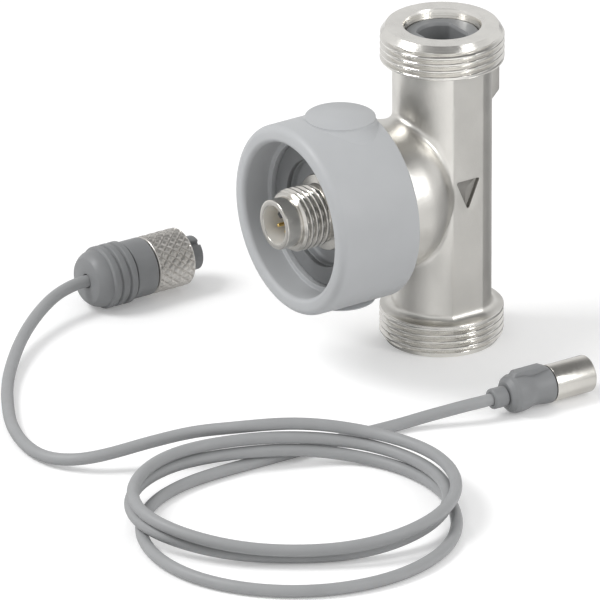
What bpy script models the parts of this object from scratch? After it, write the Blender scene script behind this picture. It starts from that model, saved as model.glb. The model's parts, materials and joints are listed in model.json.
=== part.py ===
"""Inline flow sensor with its own lead, unplugged and lying beside it.

A cast pipe section with a threaded collar at each end carries a moulded measuring insert.
A round head stands out from its side and holds the electronics and a threaded receptacle.
The lead has a round plug with a knurled coupling ring at one end and a slim connector at the other.

Metres, +Z up along the pipe. The head looks along -Y. Z is 0 at the face the sensor stands on.
"""
import math

import bmesh
import bpy
import numpy as np
from mathutils import Vector

# Clearances and roundness
SEAT_GAP = 0.0003
BODY_SIDES = 36
PIECE_SIDES = 24
SMALL_SIDES = 12
PIN_SIDES = 8
SEAL_SIDES = 20
SEAL_SECTION_SIDES = 6
SMOOTH_ANGLE = math.radians(35)
MERGE_DISTANCE = 0.000001
CUT_MARGIN = 0.0020

# Pipe section
PIPE_LENGTH = 0.0900
PIPE_RADIUS = 0.0133
COLLAR_RADIUS = 0.0166
COLLAR_HEIGHT = 0.0094
COLLAR_CHAMFER = 0.0015
COLLAR_CHAMFER_HEIGHT = 0.0021
COLLAR_FLARE = 0.0022
COLLAR_THREAD_PITCH = 0.00188
COLLAR_THREAD_DEPTH = 0.00070
COLLAR_THREAD_RUNOUT = 0.0008
LOWER_THREAD_PHASE = 0.5
UPPER_THREAD_PHASE = 0.0
NECK_FILLET = 0.0010
BORE_RADIUS = 0.0101
MOUTH_CHAMFER = 0.0004
MOUTH_CHAMFER_DEPTH = 0.0007
OUTLET_RADIUS = 0.0088
OUTLET_SHOULDER = 0.0040
FLAT_DISTANCE = 0.0124
FLAT_HALF_WIDTH = 0.0048
RIB_REACH = 0.0173
RIB_WIDTH = 0.0040
RIB_LENGTH = 0.0172

# Flow arrow on the flat
ARROW_WIDTH = 0.0072
ARROW_LENGTH = 0.0084
ARROW_DEPTH = 0.0009

# Side branch that carries the head
HEAD_HEIGHT = 0.0450
BRANCH_RADIUS = 0.0202
BRANCH_SHOULDER = 0.0125
BRANCH_ROUNDING = 0.0030
BRANCH_ROOT = 0.0020
JUNCTION_FILLET = 0.0035
JUNCTION_SECTIONS = 15
JUNCTION_STEPS = 5
POCKET_RADIUS = 0.0123
POCKET_FLOOR = 0.0150

# Measuring insert in the bore
INSERT_DEPTH = 0.0025
CHANNEL_RADIUS = 0.0066
CHANNEL_FLAT = 0.0052
SEAL_GROOVE_DEPTH = 0.0014
SEAL_GROOVE_WIDTH = 0.0018
SEAL_INSET = 0.0045
SEAL_SECTION_RADIUS = 0.0006
BLUFF_HEIGHT = 0.0620
BLUFF_FRONT_WIDTH = 0.0036
BLUFF_BACK_WIDTH = 0.0018
BLUFF_DEPTH = 0.0040

# Sensing element
NOSE_RADIUS = 0.0043
NOSE_SEAL_PLACE = 0.0122
NOSE_SEAL_SECTION = 0.0004
NOSE_GROOVE_DEPTH = 0.0010
NOSE_GROOVE_WIDTH = 0.0014
SPIGOT_RADIUS = 0.0065
SPIGOT_LENGTH = 0.0044
PADDLE_LENGTH = 0.0077
PADDLE_HEIGHT = 0.0030
PADDLE_THICKNESS = 0.0008
SIGNAL_PIN_RADIUS = 0.0004
SIGNAL_PIN_PITCH = 0.0025
SIGNAL_PIN_OFFSET = 0.0040
SIGNAL_PIN_SOCKET = 0.0034
SIGNAL_PIN_COUNT = 3

# Head housing, sizes measured from the pipe's axis towards the front
HOUSING_RADIUS = 0.0260
HOUSING_BACK = 0.0244
HOUSING_FRONT = 0.0494
HOUSING_EDGE = 0.0005
RIM_OUTER_ROUNDING = 0.0021
RIM_INNER_ROUNDING = 0.0014
MOUTH_RADIUS = 0.0213
LEDGE_DEPTH = 0.0081
LEDGE_WIDTH = 0.0014
BACK_WALL = 0.0025
CAVITY_STEP = 0.0016
PAD_RADIUS = 0.0094
PAD_PLACE = 0.0326
PAD_HEIGHT = 0.0261
PAD_ROOT = 0.0220
SCREW_RADIUS = 0.0014
SCREW_HEAD_RADIUS = 0.00275
SCREW_HEAD_HEIGHT = 0.0020
SCREW_LENGTH = 0.0078
SCREW_DRIVE_RADIUS = 0.0012
SCREW_DRIVE_DEPTH = 0.0011
SCREW_COUNT = 4

# Ring and carrier that close the head
RING_INSET = 0.0012
RING_THICKNESS = 0.0012
RING_HOLE = 0.0146
RING_EDGE = 0.0002
CARRIER_THICKNESS = 0.0024
CARRIER_FLOOR = 0.0020
CARRIER_POCKET_RADIUS = 0.0145
CARRIER_POCKET_DEPTH = 0.00215
CARRIER_FILLET = 0.0009
CARRIER_DISH_WALL = 0.0020
CARRIER_GROOVE_DEPTH = 0.0012
CARRIER_GROOVE_WIDTH = 0.0014
CARRIER_SEAL_SECTION = 0.00045

# Circuit board
BOARD_THICKNESS = 0.0016
BOARD_BACKSET = 0.0027
CHIP_SIZE = 0.0050
CHIP_HEIGHT = 0.0012
CHIP_PLACE = 0.0105

# Receptacle in the head
SHELL_PROJECTION = 0.0044
SLEEVE_RADIUS = 0.0068
SLEEVE_LENGTH = 0.0045
SLEEVE_EDGE = 0.0004
THREAD_RADIUS = 0.0085
THREAD_LENGTH = 0.0084
THREAD_PITCH = 0.00165
THREAD_DEPTH = 0.0008
THREAD_PHASE = 0.32
THREAD_EDGE = 0.0005
UNDERCUT_DEPTH = 0.0007
FLANGE_RADIUS = 0.0104
FLANGE_HEIGHT = 0.0021
GASKET_RADIUS = 0.0088
GASKET_THICKNESS = 0.0007
TAIL_RADIUS = 0.0070
TAIL_LENGTH = 0.0044
SHELL_BORE = 0.00575
NUT_ACROSS_CORNERS = 0.0190
NUT_THICKNESS = 0.0018
CONTACT_FACE_DEPTH = 0.0090
PIN_TIP_DEPTH = 0.0030
PIN_RADIUS = 0.0005
PIN_CIRCLE = 0.0026
PIN_START_ANGLE = math.radians(36)
PIN_COUNT = 4
KEY_ANGLE = math.radians(57)
KEY_WIDTH = 0.0012
KEY_HEIGHT = 0.0008
KEY_ROOT = 0.0005

# Cable plug, lying with its axis along +Y, sizes measured from its rear face
PLUG_PLACE = (-0.06595, -0.06975)
PLUG_REAR_RADIUS = 0.0061
PLUG_DOME_RADIUS = 0.0078
PLUG_DOME_LENGTH = 0.0037
PLUG_DOME_STEPS = 5
PLUG_RIDGE_RADIUS = 0.0085
PLUG_RIDGE_START = 0.0049
PLUG_RIDGE_PITCH = 0.0027
PLUG_RIDGE_WIDTH = 0.0021
PLUG_RIDGE_COUNT = 3
PLUG_CAP_LENGTH = 0.0115
PLUG_CAP_RADIUS = 0.0078
PLUG_BARREL_RADIUS = 0.0079
PLUG_BARREL_END = 0.0182
PLUG_TAIL_RADIUS = 0.0056
PLUG_TAIL_LENGTH = 0.0056
PLUG_NECK_RADIUS = 0.0059
PLUG_NECK_LENGTH = 0.0105
COUPLING_RADIUS = 0.0079
COUPLING_LENGTH = 0.0116
COUPLING_EDGE = 0.0008
COUPLING_CAVITY = 0.0070
COUPLING_STOP_LENGTH = 0.0028
KNURL_COUNT = 20
KNURL_ROWS = 8
KNURL_DEPTH = 0.00035
CLIP_RADIUS = 0.0066
CLIP_THICKNESS = 0.0008
CLIP_GROOVE_DEPTH = 0.0006
PLUG_INSERT_RADIUS = 0.00465
PLUG_INSERT_START = 0.0200
PLUG_INSERT_END = 0.0346
PLUG_KEYWAY_WIDTH = 0.0015
PLUG_KEYWAY_DEPTH = 0.0009
SOCKET_HOLE_RADIUS = 0.00105
SOCKET_HOLE_DEPTH = 0.0080
SOCKET_WALL = 0.00025
SOCKET_RECESS = 0.0008

# Slim connector, lying with its axis along +Y, sizes measured from its rear face
CONNECTOR_PLACE = (0.0525, -0.01995)
FERRULE_RADIUS = 0.0028
FERRULE_LENGTH = 0.0042
FERRULE_EDGE = 0.0006
GRIP_BULGE_RADIUS = 0.0053
GRIP_BULGE_START = 0.0066
GRIP_BULGE_END = 0.0086
GRIP_WAIST_RADIUS = 0.0046
GRIP_WAIST_PLACE = 0.0125
GRIP_FRONT_RADIUS = 0.0051
GRIP_END = 0.0180
GRIP_REAR_RADIUS = 0.0036
GRIP_RIB_WIDTH = 0.0028
GRIP_RIB_TOP = 0.0062
GRIP_RIB_SLOPE = 0.0022
GRIP_RIB_INSET = 0.00055
GRIP_WAVE_STEPS = 3
SHELL_SLEEVE_RADIUS = 0.00505
SHELL_SLEEVE_WALL = 0.0007
SHELL_SLEEVE_END = 0.0307
SHELL_SLEEVE_ROUNDING = 0.0005
CONNECTOR_INSERT_FACE = 0.0240
CONNECTOR_PIN_RADIUS = 0.0005
CONNECTOR_PIN_CIRCLE = 0.0020
CONNECTOR_PIN_TIP = 0.0275
CONNECTOR_PIN_ROOT = 0.0190

# Cable
CABLE_DIAMETER = 0.0033
CABLE_BEVEL_COUNT = 2
CABLE_POINT_SPACING = 0.0085
ROUTE_STEPS = 20
FLOOR_LIFT = 0.0001

# Coil of three turns, in its own frame turned about Z
COIL_CENTRE = (0.0744, -0.0972)
COIL_ANGLE = math.radians(56)
COIL_SIDE_OUTER = 0.0430
COIL_SIDE_INNER = 0.0408
COIL_BACK_OUTER = 0.0368
COIL_BACK_INNER = 0.0340
COIL_FRONT_OUTER = 0.0568
COIL_FRONT_INNER = 0.0347
COIL_BACK_LAYERS = 3
COIL_FRONT_LAYERS = 2
COIL_STATIONS = 36
COIL_EDGE = 0.0008
ARCH_CENTRE = math.radians(-16)
ARCH_HALF_WIDTH = math.radians(48)
ARCH_RAMP = math.radians(22)
ARCH_DRAW = 0.0040

# Routes of the two leads, from the foot of the pipe's axis
PLUG_LEAD_ROUTE = (
    (-0.06595, -0.07025, 0.0086), (-0.06595, -0.0725, 0.0086), (-0.0654, -0.0752, 0.0084),
    (-0.0644, -0.0800, 0.0078), (-0.0616, -0.0863, 0.0066), (-0.0562, -0.0946, 0.0049),
    (-0.0501, -0.1017, 0.0037), (-0.0437, -0.1080, 0.0028), (-0.0369, -0.1139, 0.0022),
    (-0.0296, -0.1193, 0.0019), (-0.0218, -0.1243, 0.00175), (-0.0138, -0.1289, 0.00175),
    (-0.0052, -0.1326, 0.00175), (0.0034, -0.1348, 0.0018), (0.0127, -0.1346, 0.0022),
    (0.0206, -0.1304, 0.0035), (0.0256, -0.1226, 0.0053), (0.0288, -0.1140, 0.0071),
    (0.0304, -0.1098, 0.0079), (0.0320, -0.1057, 0.0086), (0.0341, -0.1015, 0.0093),
)
CONNECTOR_LEAD_ROUTE = (
    (0.0519, -0.1268, 0.00175), (0.0485, -0.1197, 0.00175), (0.0463, -0.1116, 0.00175),
    (0.0454, -0.1024, 0.00175), (0.0453, -0.0895, 0.00175), (0.0453, -0.0761, 0.00175),
    (0.0454, -0.0610, 0.00175), (0.0457, -0.0500, 0.00175), (0.0464, -0.0435, 0.0021),
    (0.0478, -0.0377, 0.0030), (0.0498, -0.0323, 0.0041), (0.0515, -0.0273, 0.0050),
    (0.0524, -0.0230, 0.0054), (0.0525, -0.02055, 0.0054),
)

# Derived places
SHELL_FRONT = HOUSING_FRONT + SHELL_PROJECTION
PIPE_PLACE = (SHELL_FRONT - RIB_REACH) / 2
INSERT_TOP = PIPE_LENGTH - INSERT_DEPTH
INSERT_BOTTOM = OUTLET_SHOULDER + SEAT_GAP
INSERT_RADIUS = BORE_RADIUS - SEAT_GAP
NOSE_HOLE_RADIUS = NOSE_RADIUS + SEAT_GAP
HOLDER_BACK = POCKET_FLOOR + SEAT_GAP
BRANCH_FRONT = HOUSING_BACK - SEAT_GAP
LEDGE_RADIUS = MOUTH_RADIUS - LEDGE_WIDTH
LEDGE_PLACE = HOUSING_FRONT - LEDGE_DEPTH
SEATED_RADIUS = LEDGE_RADIUS - SEAT_GAP
RING_FRONT = LEDGE_PLACE - RING_INSET
RING_BACK = RING_FRONT - RING_THICKNESS
CARRIER_FRONT = RING_BACK - SEAT_GAP
CARRIER_BACK = CARRIER_FRONT - CARRIER_THICKNESS
CARRIER_POCKET = CARRIER_FRONT - CARRIER_POCKET_DEPTH
CARRIER_BOTTOM = CARRIER_POCKET - CARRIER_FLOOR
CARRIER_DISH_RADIUS = CARRIER_POCKET_RADIUS + CARRIER_DISH_WALL
SHOULDER_PLACE = CARRIER_BACK - SEAT_GAP
CAVITY_RADIUS = LEDGE_RADIUS - CAVITY_STEP
CAVITY_BACK = HOUSING_BACK + BACK_WALL
SCREW_CIRCLE = CAVITY_RADIUS - SEAT_GAP - SCREW_HEAD_RADIUS
BOARD_FRONT = CARRIER_BOTTOM - BOARD_BACKSET
BOARD_BACK = BOARD_FRONT - BOARD_THICKNESS
BOARD_RADIUS = CAVITY_RADIUS - SEAT_GAP
FLANGE_BACK = CARRIER_POCKET + SEAT_GAP
FLANGE_FRONT = FLANGE_BACK + FLANGE_HEIGHT
TAIL_END = FLANGE_BACK - TAIL_LENGTH
NUT_FRONT = CARRIER_BOTTOM - SEAT_GAP
CONTACT_FACE = SHELL_FRONT - CONTACT_FACE_DEPTH
PIN_TIP = SHELL_FRONT - PIN_TIP_DEPTH
PLUG_HEIGHT = PLUG_RIDGE_RADIUS + FLOOR_LIFT
CONNECTOR_HEIGHT = GRIP_BULGE_RADIUS + FLOOR_LIFT
COUPLING_START = PLUG_BARREL_END + SEAT_GAP
COUPLING_STOP_END = COUPLING_START + COUPLING_STOP_LENGTH
CLIP_START = COUPLING_STOP_END + SEAT_GAP
CLIP_GROOVE_FLOOR = PLUG_NECK_RADIUS - CLIP_GROOVE_DEPTH

TOWARDS_FRONT = (math.pi / 2, 0, 0)
TOWARDS_BACK = (-math.pi / 2, 0, 0)


# Scene and placing
def clear_scene():
    for item in list(bpy.data.objects):
        bpy.data.objects.remove(item, do_unlink=True)


def add_frame(name, place, turn=(0, 0, 0), parent=None):
    frame = bpy.data.objects.new(name, None)
    frame.location = place
    frame.rotation_euler = turn
    frame.parent = parent
    bpy.context.scene.collection.objects.link(frame)
    return frame


def add_object(name, data, parent, material=None, place=(0, 0, 0), turn=(0, 0, 0)):
    item = bpy.data.objects.new(name, data)
    item.location = place
    item.rotation_euler = turn
    item.parent = parent
    if material is not None:
        data.materials.append(material)
    bpy.context.scene.collection.objects.link(item)
    return item


def make_material(name, colour, roughness, metallic):
    material = bpy.data.materials.new(name)
    material.use_nodes = True
    shader = material.node_tree.nodes["Principled BSDF"]
    shader.inputs["Base Color"].default_value = (*colour, 1.0)
    shader.inputs["Roughness"].default_value = roughness
    shader.inputs["Metallic"].default_value = metallic
    return material


def make_materials():
    return {
        "gunmetal": make_material("cast_gunmetal", (0.62, 0.50, 0.33), 0.42, 1.0),
        "housing": make_material("housing_plastic", (0.16, 0.17, 0.18), 0.55, 0.0),
        "inner": make_material("inner_plastic", (0.10, 0.10, 0.11), 0.60, 0.0),
        "nickel": make_material("nickel_plate", (0.70, 0.69, 0.66), 0.28, 1.0),
        "steel": make_material("steel", (0.56, 0.57, 0.58), 0.35, 1.0),
        "gold": make_material("gold_plate", (0.86, 0.65, 0.28), 0.30, 1.0),
        "rubber": make_material("seal_rubber", (0.03, 0.03, 0.03), 0.80, 0.0),
        "board": make_material("circuit_board", (0.03, 0.20, 0.10), 0.55, 0.0),
        "plug": make_material("plug_plastic", (0.05, 0.05, 0.06), 0.50, 0.0),
        "cable": make_material("cable_jacket", (0.07, 0.07, 0.08), 0.55, 0.0),
    }


# Mesh helpers
def finish_mesh(shape, name):
    bmesh.ops.recalc_face_normals(shape, faces=shape.faces)
    mesh = bpy.data.meshes.new(name)
    shape.to_mesh(mesh)
    shape.free()
    mesh.shade_smooth()
    mesh.set_sharp_from_angle(angle=SMOOTH_ANGLE)
    return mesh


def turned_mesh(name, profile, sides):
    """Spin a closed profile of (radius, height) points about Z; edges on the axis are left out."""
    shape = bmesh.new()
    points = [shape.verts.new((radius, 0, height)) for radius, height in profile]
    pairs = zip(points, points[1:] + points[:1])
    off_axis = [pair for pair in pairs if max(pair[0].co.x, pair[1].co.x) > MERGE_DISTANCE]
    edges = [shape.edges.new(pair) for pair in off_axis]
    bmesh.ops.spin(
        shape, geom=points + edges, cent=(0, 0, 0), axis=(0, 0, 1),
        angle=math.tau, steps=sides, use_merge=True, use_duplicate=False,
    )
    bmesh.ops.remove_doubles(shape, verts=shape.verts, dist=MERGE_DISTANCE)
    return finish_mesh(shape, name)


def threaded_mesh(name, profile_at, sides):
    """Mesh round Z whose profile of (radius, height) points depends on the share of a turn."""
    shape = bmesh.new()
    columns = []
    for index in range(sides + 1):
        angle = math.tau * index / sides
        across = Vector((math.cos(angle), math.sin(angle), 0))
        points = [across * radius + Vector((0, 0, height)) for radius, height in profile_at(index / sides)]
        columns.append([shape.verts.new(point) for point in points])
    for column, beside in zip(columns, columns[1:]):
        for low, low_beside, high_beside, high in zip(column, beside, beside[1:], column[1:]):
            shape.faces.new((low, low_beside, high_beside, high))
    bmesh.ops.remove_doubles(shape, verts=shape.verts, dist=MERGE_DISTANCE)
    return finish_mesh(shape, name)


def thread_points(radius, depth, pitch, start, end, turn):
    """Crests and roots of a right-hand thread between two heights, at a number of turns from 0 to 2."""
    points = [(radius, start)]
    for index in range(2 * math.ceil((end - start) / pitch) + 4):
        height = start + pitch * (turn + (index - 3) / 2)
        cut_in = depth if index % 2 == 0 and start < height < end else 0
        points.append((radius - cut_in, min(end, max(start, height))))
    points.append((radius, end))
    return points


def extruded_mesh(name, outline, start, end):
    """Extrude a closed outline of (x, y) points along Z from start to end."""
    shape = bmesh.new()
    floor = [shape.verts.new((x, y, start)) for x, y in outline]
    face = shape.faces.new(floor)
    moved = bmesh.ops.extrude_face_region(shape, geom=[face])
    raised = [item for item in moved["geom"] if isinstance(item, bmesh.types.BMVert)]
    bmesh.ops.translate(shape, verts=raised, vec=(0, 0, end - start))
    return finish_mesh(shape, name)


def lofted_mesh(name, rows, closed_rows):
    """Join rows of points with equal counts; the rows close on themselves or are capped."""
    shape = bmesh.new()
    rings = [[shape.verts.new(point) for point in row] for row in rows]
    following = rings[1:] + (rings[:1] if closed_rows else [])
    for ring, after in zip(rings, following):
        count = len(ring)
        for index in range(count):
            beside = (index + 1) % count
            shape.faces.new((ring[index], ring[beside], after[beside], after[index]))
    if not closed_rows:
        shape.faces.new(rings[0])
        shape.faces.new(rings[-1])
    return finish_mesh(shape, name)


def arc(centre, radius, start, end, steps):
    """Points of an arc in a profile, angles in degrees from the outward direction."""
    points = []
    for index in range(steps + 1):
        angle = math.radians(start + (end - start) * index / steps)
        points.append((centre[0] + radius * math.cos(angle), centre[1] + radius * math.sin(angle)))
    return points


def block(width, depth, start, end, centre=(0, 0)):
    """Rectangle outline of the given width and depth, with the heights it is extruded between."""
    x = width / 2
    y = depth / 2
    outline = [
        (centre[0] - x, centre[1] - y),
        (centre[0] + x, centre[1] - y),
        (centre[0] + x, centre[1] + y),
        (centre[0] - x, centre[1] + y),
    ]
    return outline, start, end


def rod_profile(radius, start, end):
    return [(0, start), (radius, start), (radius, end), (0, end)]


def tube_profile(inner, outer, start, end):
    return [(inner, start), (outer, start), (outer, end), (inner, end)]


def seal_profile(ring_radius, section_radius, height):
    last_side = SEAL_SECTION_SIDES - 1
    return arc((ring_radius, height), section_radius, 0, 360 * last_side / SEAL_SECTION_SIDES, last_side)


def add_boolean(target, tool, operation):
    tool.hide_render = True
    tool.display_type = "WIRE"
    modifier = target.modifiers.new(tool.name, "BOOLEAN")
    modifier.operation = operation
    modifier.object = tool


def cut(target, tool):
    add_boolean(target, tool, "DIFFERENCE")


def join(target, tool):
    add_boolean(target, tool, "UNION")


# Pipe section
def collar_thread(start, end, turn):
    return thread_points(COLLAR_RADIUS, COLLAR_THREAD_DEPTH, COLLAR_THREAD_PITCH, start, end, turn)


def pipe_profile(turn):
    """Outside of the pipe section at a share of a turn, from the centre of its bottom to that of its top."""
    collar_top = COLLAR_HEIGHT
    neck = PIPE_LENGTH - COLLAR_HEIGHT
    edge = COLLAR_RADIUS - COLLAR_CHAMFER
    profile = [(0, 0), (edge, 0)]
    thread_end = collar_top - COLLAR_THREAD_RUNOUT
    profile += collar_thread(COLLAR_CHAMFER_HEIGHT, thread_end, turn + LOWER_THREAD_PHASE)
    profile += [(COLLAR_RADIUS, collar_top)]
    profile += arc((PIPE_RADIUS + COLLAR_FLARE, collar_top + COLLAR_FLARE), COLLAR_FLARE, 270, 180, 4)
    profile += arc((PIPE_RADIUS + NECK_FILLET, neck - NECK_FILLET), NECK_FILLET, 180, 90, 3)
    profile += [(COLLAR_RADIUS, neck)]
    thread_start = neck + COLLAR_THREAD_RUNOUT
    profile += collar_thread(thread_start, PIPE_LENGTH - COLLAR_CHAMFER_HEIGHT, turn + UPPER_THREAD_PHASE)
    profile += [(edge, PIPE_LENGTH), (0, PIPE_LENGTH)]
    return profile


def bore_profile():
    """Stepped bore with a shoulder near the outlet and a chamfer at each mouth."""
    top = PIPE_LENGTH + CUT_MARGIN
    mouth = BORE_RADIUS + MOUTH_CHAMFER
    outlet_mouth = OUTLET_RADIUS + MOUTH_CHAMFER
    return [
        (0, -CUT_MARGIN),
        (outlet_mouth, -CUT_MARGIN),
        (outlet_mouth, 0),
        (OUTLET_RADIUS, MOUTH_CHAMFER_DEPTH),
        (OUTLET_RADIUS, OUTLET_SHOULDER),
        (BORE_RADIUS, OUTLET_SHOULDER),
        (BORE_RADIUS, PIPE_LENGTH - MOUTH_CHAMFER_DEPTH),
        (mouth, PIPE_LENGTH),
        (mouth, top),
        (0, top),
    ]


def branch_profile():
    """Side branch with a conical, rounded back that runs into the pipe."""
    root_radius = BRANCH_RADIUS - (BRANCH_SHOULDER - BRANCH_ROOT)
    tangent = BRANCH_ROUNDING * math.tan(math.pi / 8)
    centre = (BRANCH_RADIUS - BRANCH_ROUNDING, BRANCH_SHOULDER + tangent)
    profile = [(0, BRANCH_ROOT), (root_radius, BRANCH_ROOT)]
    profile += arc(centre, BRANCH_ROUNDING, -45, 0, 3)
    profile += [(BRANCH_RADIUS, BRANCH_FRONT), (0, BRANCH_FRONT)]
    return profile


def junction_rows(side):
    """Sections of the fillet between pipe and branch, above (side 1) or below (side -1)."""
    overlap = SEAT_GAP
    spread = math.sqrt((PIPE_RADIUS + JUNCTION_FILLET) ** 2 - BRANCH_SHOULDER ** 2)
    rows = []
    for index in range(JUNCTION_SECTIONS):
        share = (2 * index + 1) / JUNCTION_SECTIONS - 1
        radius = JUNCTION_FILLET * math.sqrt(1 - share * share)
        x = spread * share
        pipe_reach = PIPE_RADIUS + radius
        branch_reach = BRANCH_RADIUS + radius
        centre = Vector((x, -math.sqrt(pipe_reach ** 2 - x * x), math.sqrt(branch_reach ** 2 - x * x)))
        to_pipe = Vector((-centre.x, -centre.y, 0)).normalized()
        to_branch = Vector((-centre.x, 0, -centre.z)).normalized()
        section = [centre + to_pipe * (radius + overlap)]
        for step in range(1, JUNCTION_STEPS):
            direction = to_pipe.lerp(to_branch, step / JUNCTION_STEPS).normalized()
            section.append(centre + direction * radius)
        section.append(centre + to_branch * (radius + overlap))
        corner = centre + to_pipe * (radius + overlap) + to_branch * (radius + overlap)
        section.append(corner)
        rows.append([(point.x, point.y, HEAD_HEIGHT + side * point.z) for point in section])
    return rows


def rib_outline():
    """Side view of the rear rib, (reach, height), with a lower end at 45 degrees."""
    top = PIPE_LENGTH - COLLAR_HEIGHT + SEAT_GAP
    root = PIPE_RADIUS - CUT_MARGIN
    bottom = top - RIB_LENGTH
    corner = bottom + RIB_REACH - PIPE_RADIUS
    return [(root, bottom - CUT_MARGIN), (root, top), (RIB_REACH, top), (RIB_REACH, corner)]


def arrow_outline():
    """Triangle on the flat, (y, z), its point down."""
    top = ARROW_LENGTH / 2
    half = ARROW_WIDTH / 2
    return [(-half, top), (half, top), (0, -top)]


def side_extrusion(name, outline, start, end, parent, place=(0, 0, 0)):
    """Extrusion along X of an outline given as (y, z)."""
    mesh = extruded_mesh(name, outline, start, end)
    return add_object(name, mesh, parent, place=place, turn=(math.pi / 2, 0, math.pi / 2))


def screw_places():
    places = []
    for index in range(SCREW_COUNT):
        angle = math.tau * (index + 0.5) / SCREW_COUNT
        places.append((SCREW_CIRCLE * math.cos(angle), SCREW_CIRCLE * math.sin(angle)))
    return places


def make_flow_body(sensor, head, materials):
    pipe = threaded_mesh("flow_body", pipe_profile, BODY_SIDES)
    body = add_object("flow_body", pipe, sensor, materials["gunmetal"])
    join(body, add_object("branch_shape", turned_mesh("branch_shape", branch_profile(), BODY_SIDES), head))
    for side, name in ((1, "upper_junction"), (-1, "lower_junction")):
        join(body, add_object(name, lofted_mesh(name, junction_rows(side), False), sensor))
    join(body, side_extrusion("rib_shape", rib_outline(), -RIB_WIDTH / 2, RIB_WIDTH / 2, sensor))
    cut(body, add_object("bore_shape", turned_mesh("bore_shape", bore_profile(), BODY_SIDES), sensor))
    cut(body, add_object("pocket_shape", turned_mesh("pocket_shape", pocket_profile(), PIECE_SIDES), head))
    neck_bottom = COLLAR_HEIGHT + COLLAR_FLARE
    neck_top = PIPE_LENGTH - COLLAR_HEIGHT - NECK_FILLET
    for side, name in ((1, "arrow_flat"), (-1, "plain_flat")):
        middle = side * (FLAT_DISTANCE + CUT_MARGIN)
        outline = block(2 * CUT_MARGIN, 2 * FLAT_HALF_WIDTH, neck_bottom, neck_top, (middle, 0))
        cut(body, add_object(name, extruded_mesh(name, *outline), sensor))
    arrow_start = FLAT_DISTANCE - ARROW_DEPTH
    arrow_end = FLAT_DISTANCE + CUT_MARGIN
    arrow_place = (0, 0, HEAD_HEIGHT)
    cut(body, side_extrusion("arrow_shape", arrow_outline(), arrow_start, arrow_end, sensor, arrow_place))
    hole_floor = CAVITY_BACK - SCREW_LENGTH
    for index, place in enumerate(screw_places()):
        name = f"body_screw_hole_{index + 1}"
        profile = rod_profile(SCREW_RADIUS + SEAT_GAP, hole_floor, HOUSING_BACK + CUT_MARGIN)
        cut(body, add_object(name, turned_mesh(name, profile, PIN_SIDES), head, place=(*place, 0)))


def pocket_profile():
    """Pocket in the branch for the sensing element, with the hole through to the bore."""
    front = BRANCH_FRONT + CUT_MARGIN
    return [
        (0, 0),
        (NOSE_HOLE_RADIUS, 0),
        (NOSE_HOLE_RADIUS, POCKET_FLOOR),
        (POCKET_RADIUS, POCKET_FLOOR),
        (POCKET_RADIUS, front),
        (0, front),
    ]


# Measuring insert and its seals
def grooved(radius, start, end, grooves, depth, width):
    """Outside of a rod from start to end with square grooves centred at the given heights."""
    points = [(radius, start)]
    for height in grooves:
        points.append((radius, height - width / 2))
        points.append((radius - depth, height - width / 2))
        points.append((radius - depth, height + width / 2))
        points.append((radius, height + width / 2))
    points.append((radius, end))
    return points


def insert_seal_heights():
    return (INSERT_BOTTOM + SEAL_INSET, INSERT_TOP - SEAL_INSET)


def channel_outline():
    """Round channel with two flats that face along the head's axis."""
    reach = math.degrees(math.asin(CHANNEL_FLAT / CHANNEL_RADIUS))
    right = arc((0, 0), CHANNEL_RADIUS, -reach, reach, 8)
    left = arc((0, 0), CHANNEL_RADIUS, 180 - reach, 180 + reach, 8)
    return right + left


def bluff_outline():
    """Section of the bar that sheds the vortices, (x, z), broad side upstream."""
    front = BLUFF_FRONT_WIDTH / 2
    back = BLUFF_BACK_WIDTH / 2
    half = BLUFF_DEPTH / 2
    return [(-front, half), (front, half), (back, -half), (-back, -half)]


def make_measuring_insert(sensor, head, materials):
    outside = grooved(
        INSERT_RADIUS, INSERT_BOTTOM, INSERT_TOP, insert_seal_heights(), SEAL_GROOVE_DEPTH, SEAL_GROOVE_WIDTH,
    )
    profile = [(0, INSERT_BOTTOM)] + outside + [(0, INSERT_TOP)]
    insert = add_object(
        "measuring_insert", turned_mesh("measuring_insert", profile, PIECE_SIDES), sensor, materials["inner"],
    )
    channel_start = INSERT_BOTTOM - CUT_MARGIN
    channel = extruded_mesh("channel_shape", channel_outline(), channel_start, INSERT_TOP + CUT_MARGIN)
    cut(insert, add_object("channel_shape", channel, sensor))
    hole = turned_mesh("nose_hole", rod_profile(NOSE_HOLE_RADIUS, 0, BORE_RADIUS + CUT_MARGIN), SMALL_SIDES)
    cut(insert, add_object("nose_hole", hole, head))
    reach = (CHANNEL_FLAT + INSERT_RADIUS) / 2
    bluff = extruded_mesh("bluff_shape", bluff_outline(), -reach, reach)
    join(insert, add_object("bluff_shape", bluff, sensor, place=(0, 0, BLUFF_HEIGHT), turn=TOWARDS_FRONT))
    floor = INSERT_RADIUS - SEAL_GROOVE_DEPTH
    middle = (floor + BORE_RADIUS) / 2
    for name, height in zip(("insert_seal_lower", "insert_seal_upper"), insert_seal_heights()):
        ring = turned_mesh(name, seal_profile(middle, SEAL_SECTION_RADIUS, height), SEAL_SIDES)
        add_object(name, ring, sensor, materials["rubber"])


# Sensing element in the branch
def signal_pin_places():
    middle = (SIGNAL_PIN_COUNT - 1) / 2
    return [((index - middle) * SIGNAL_PIN_PITCH, -SIGNAL_PIN_OFFSET) for index in range(SIGNAL_PIN_COUNT)]


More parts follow.
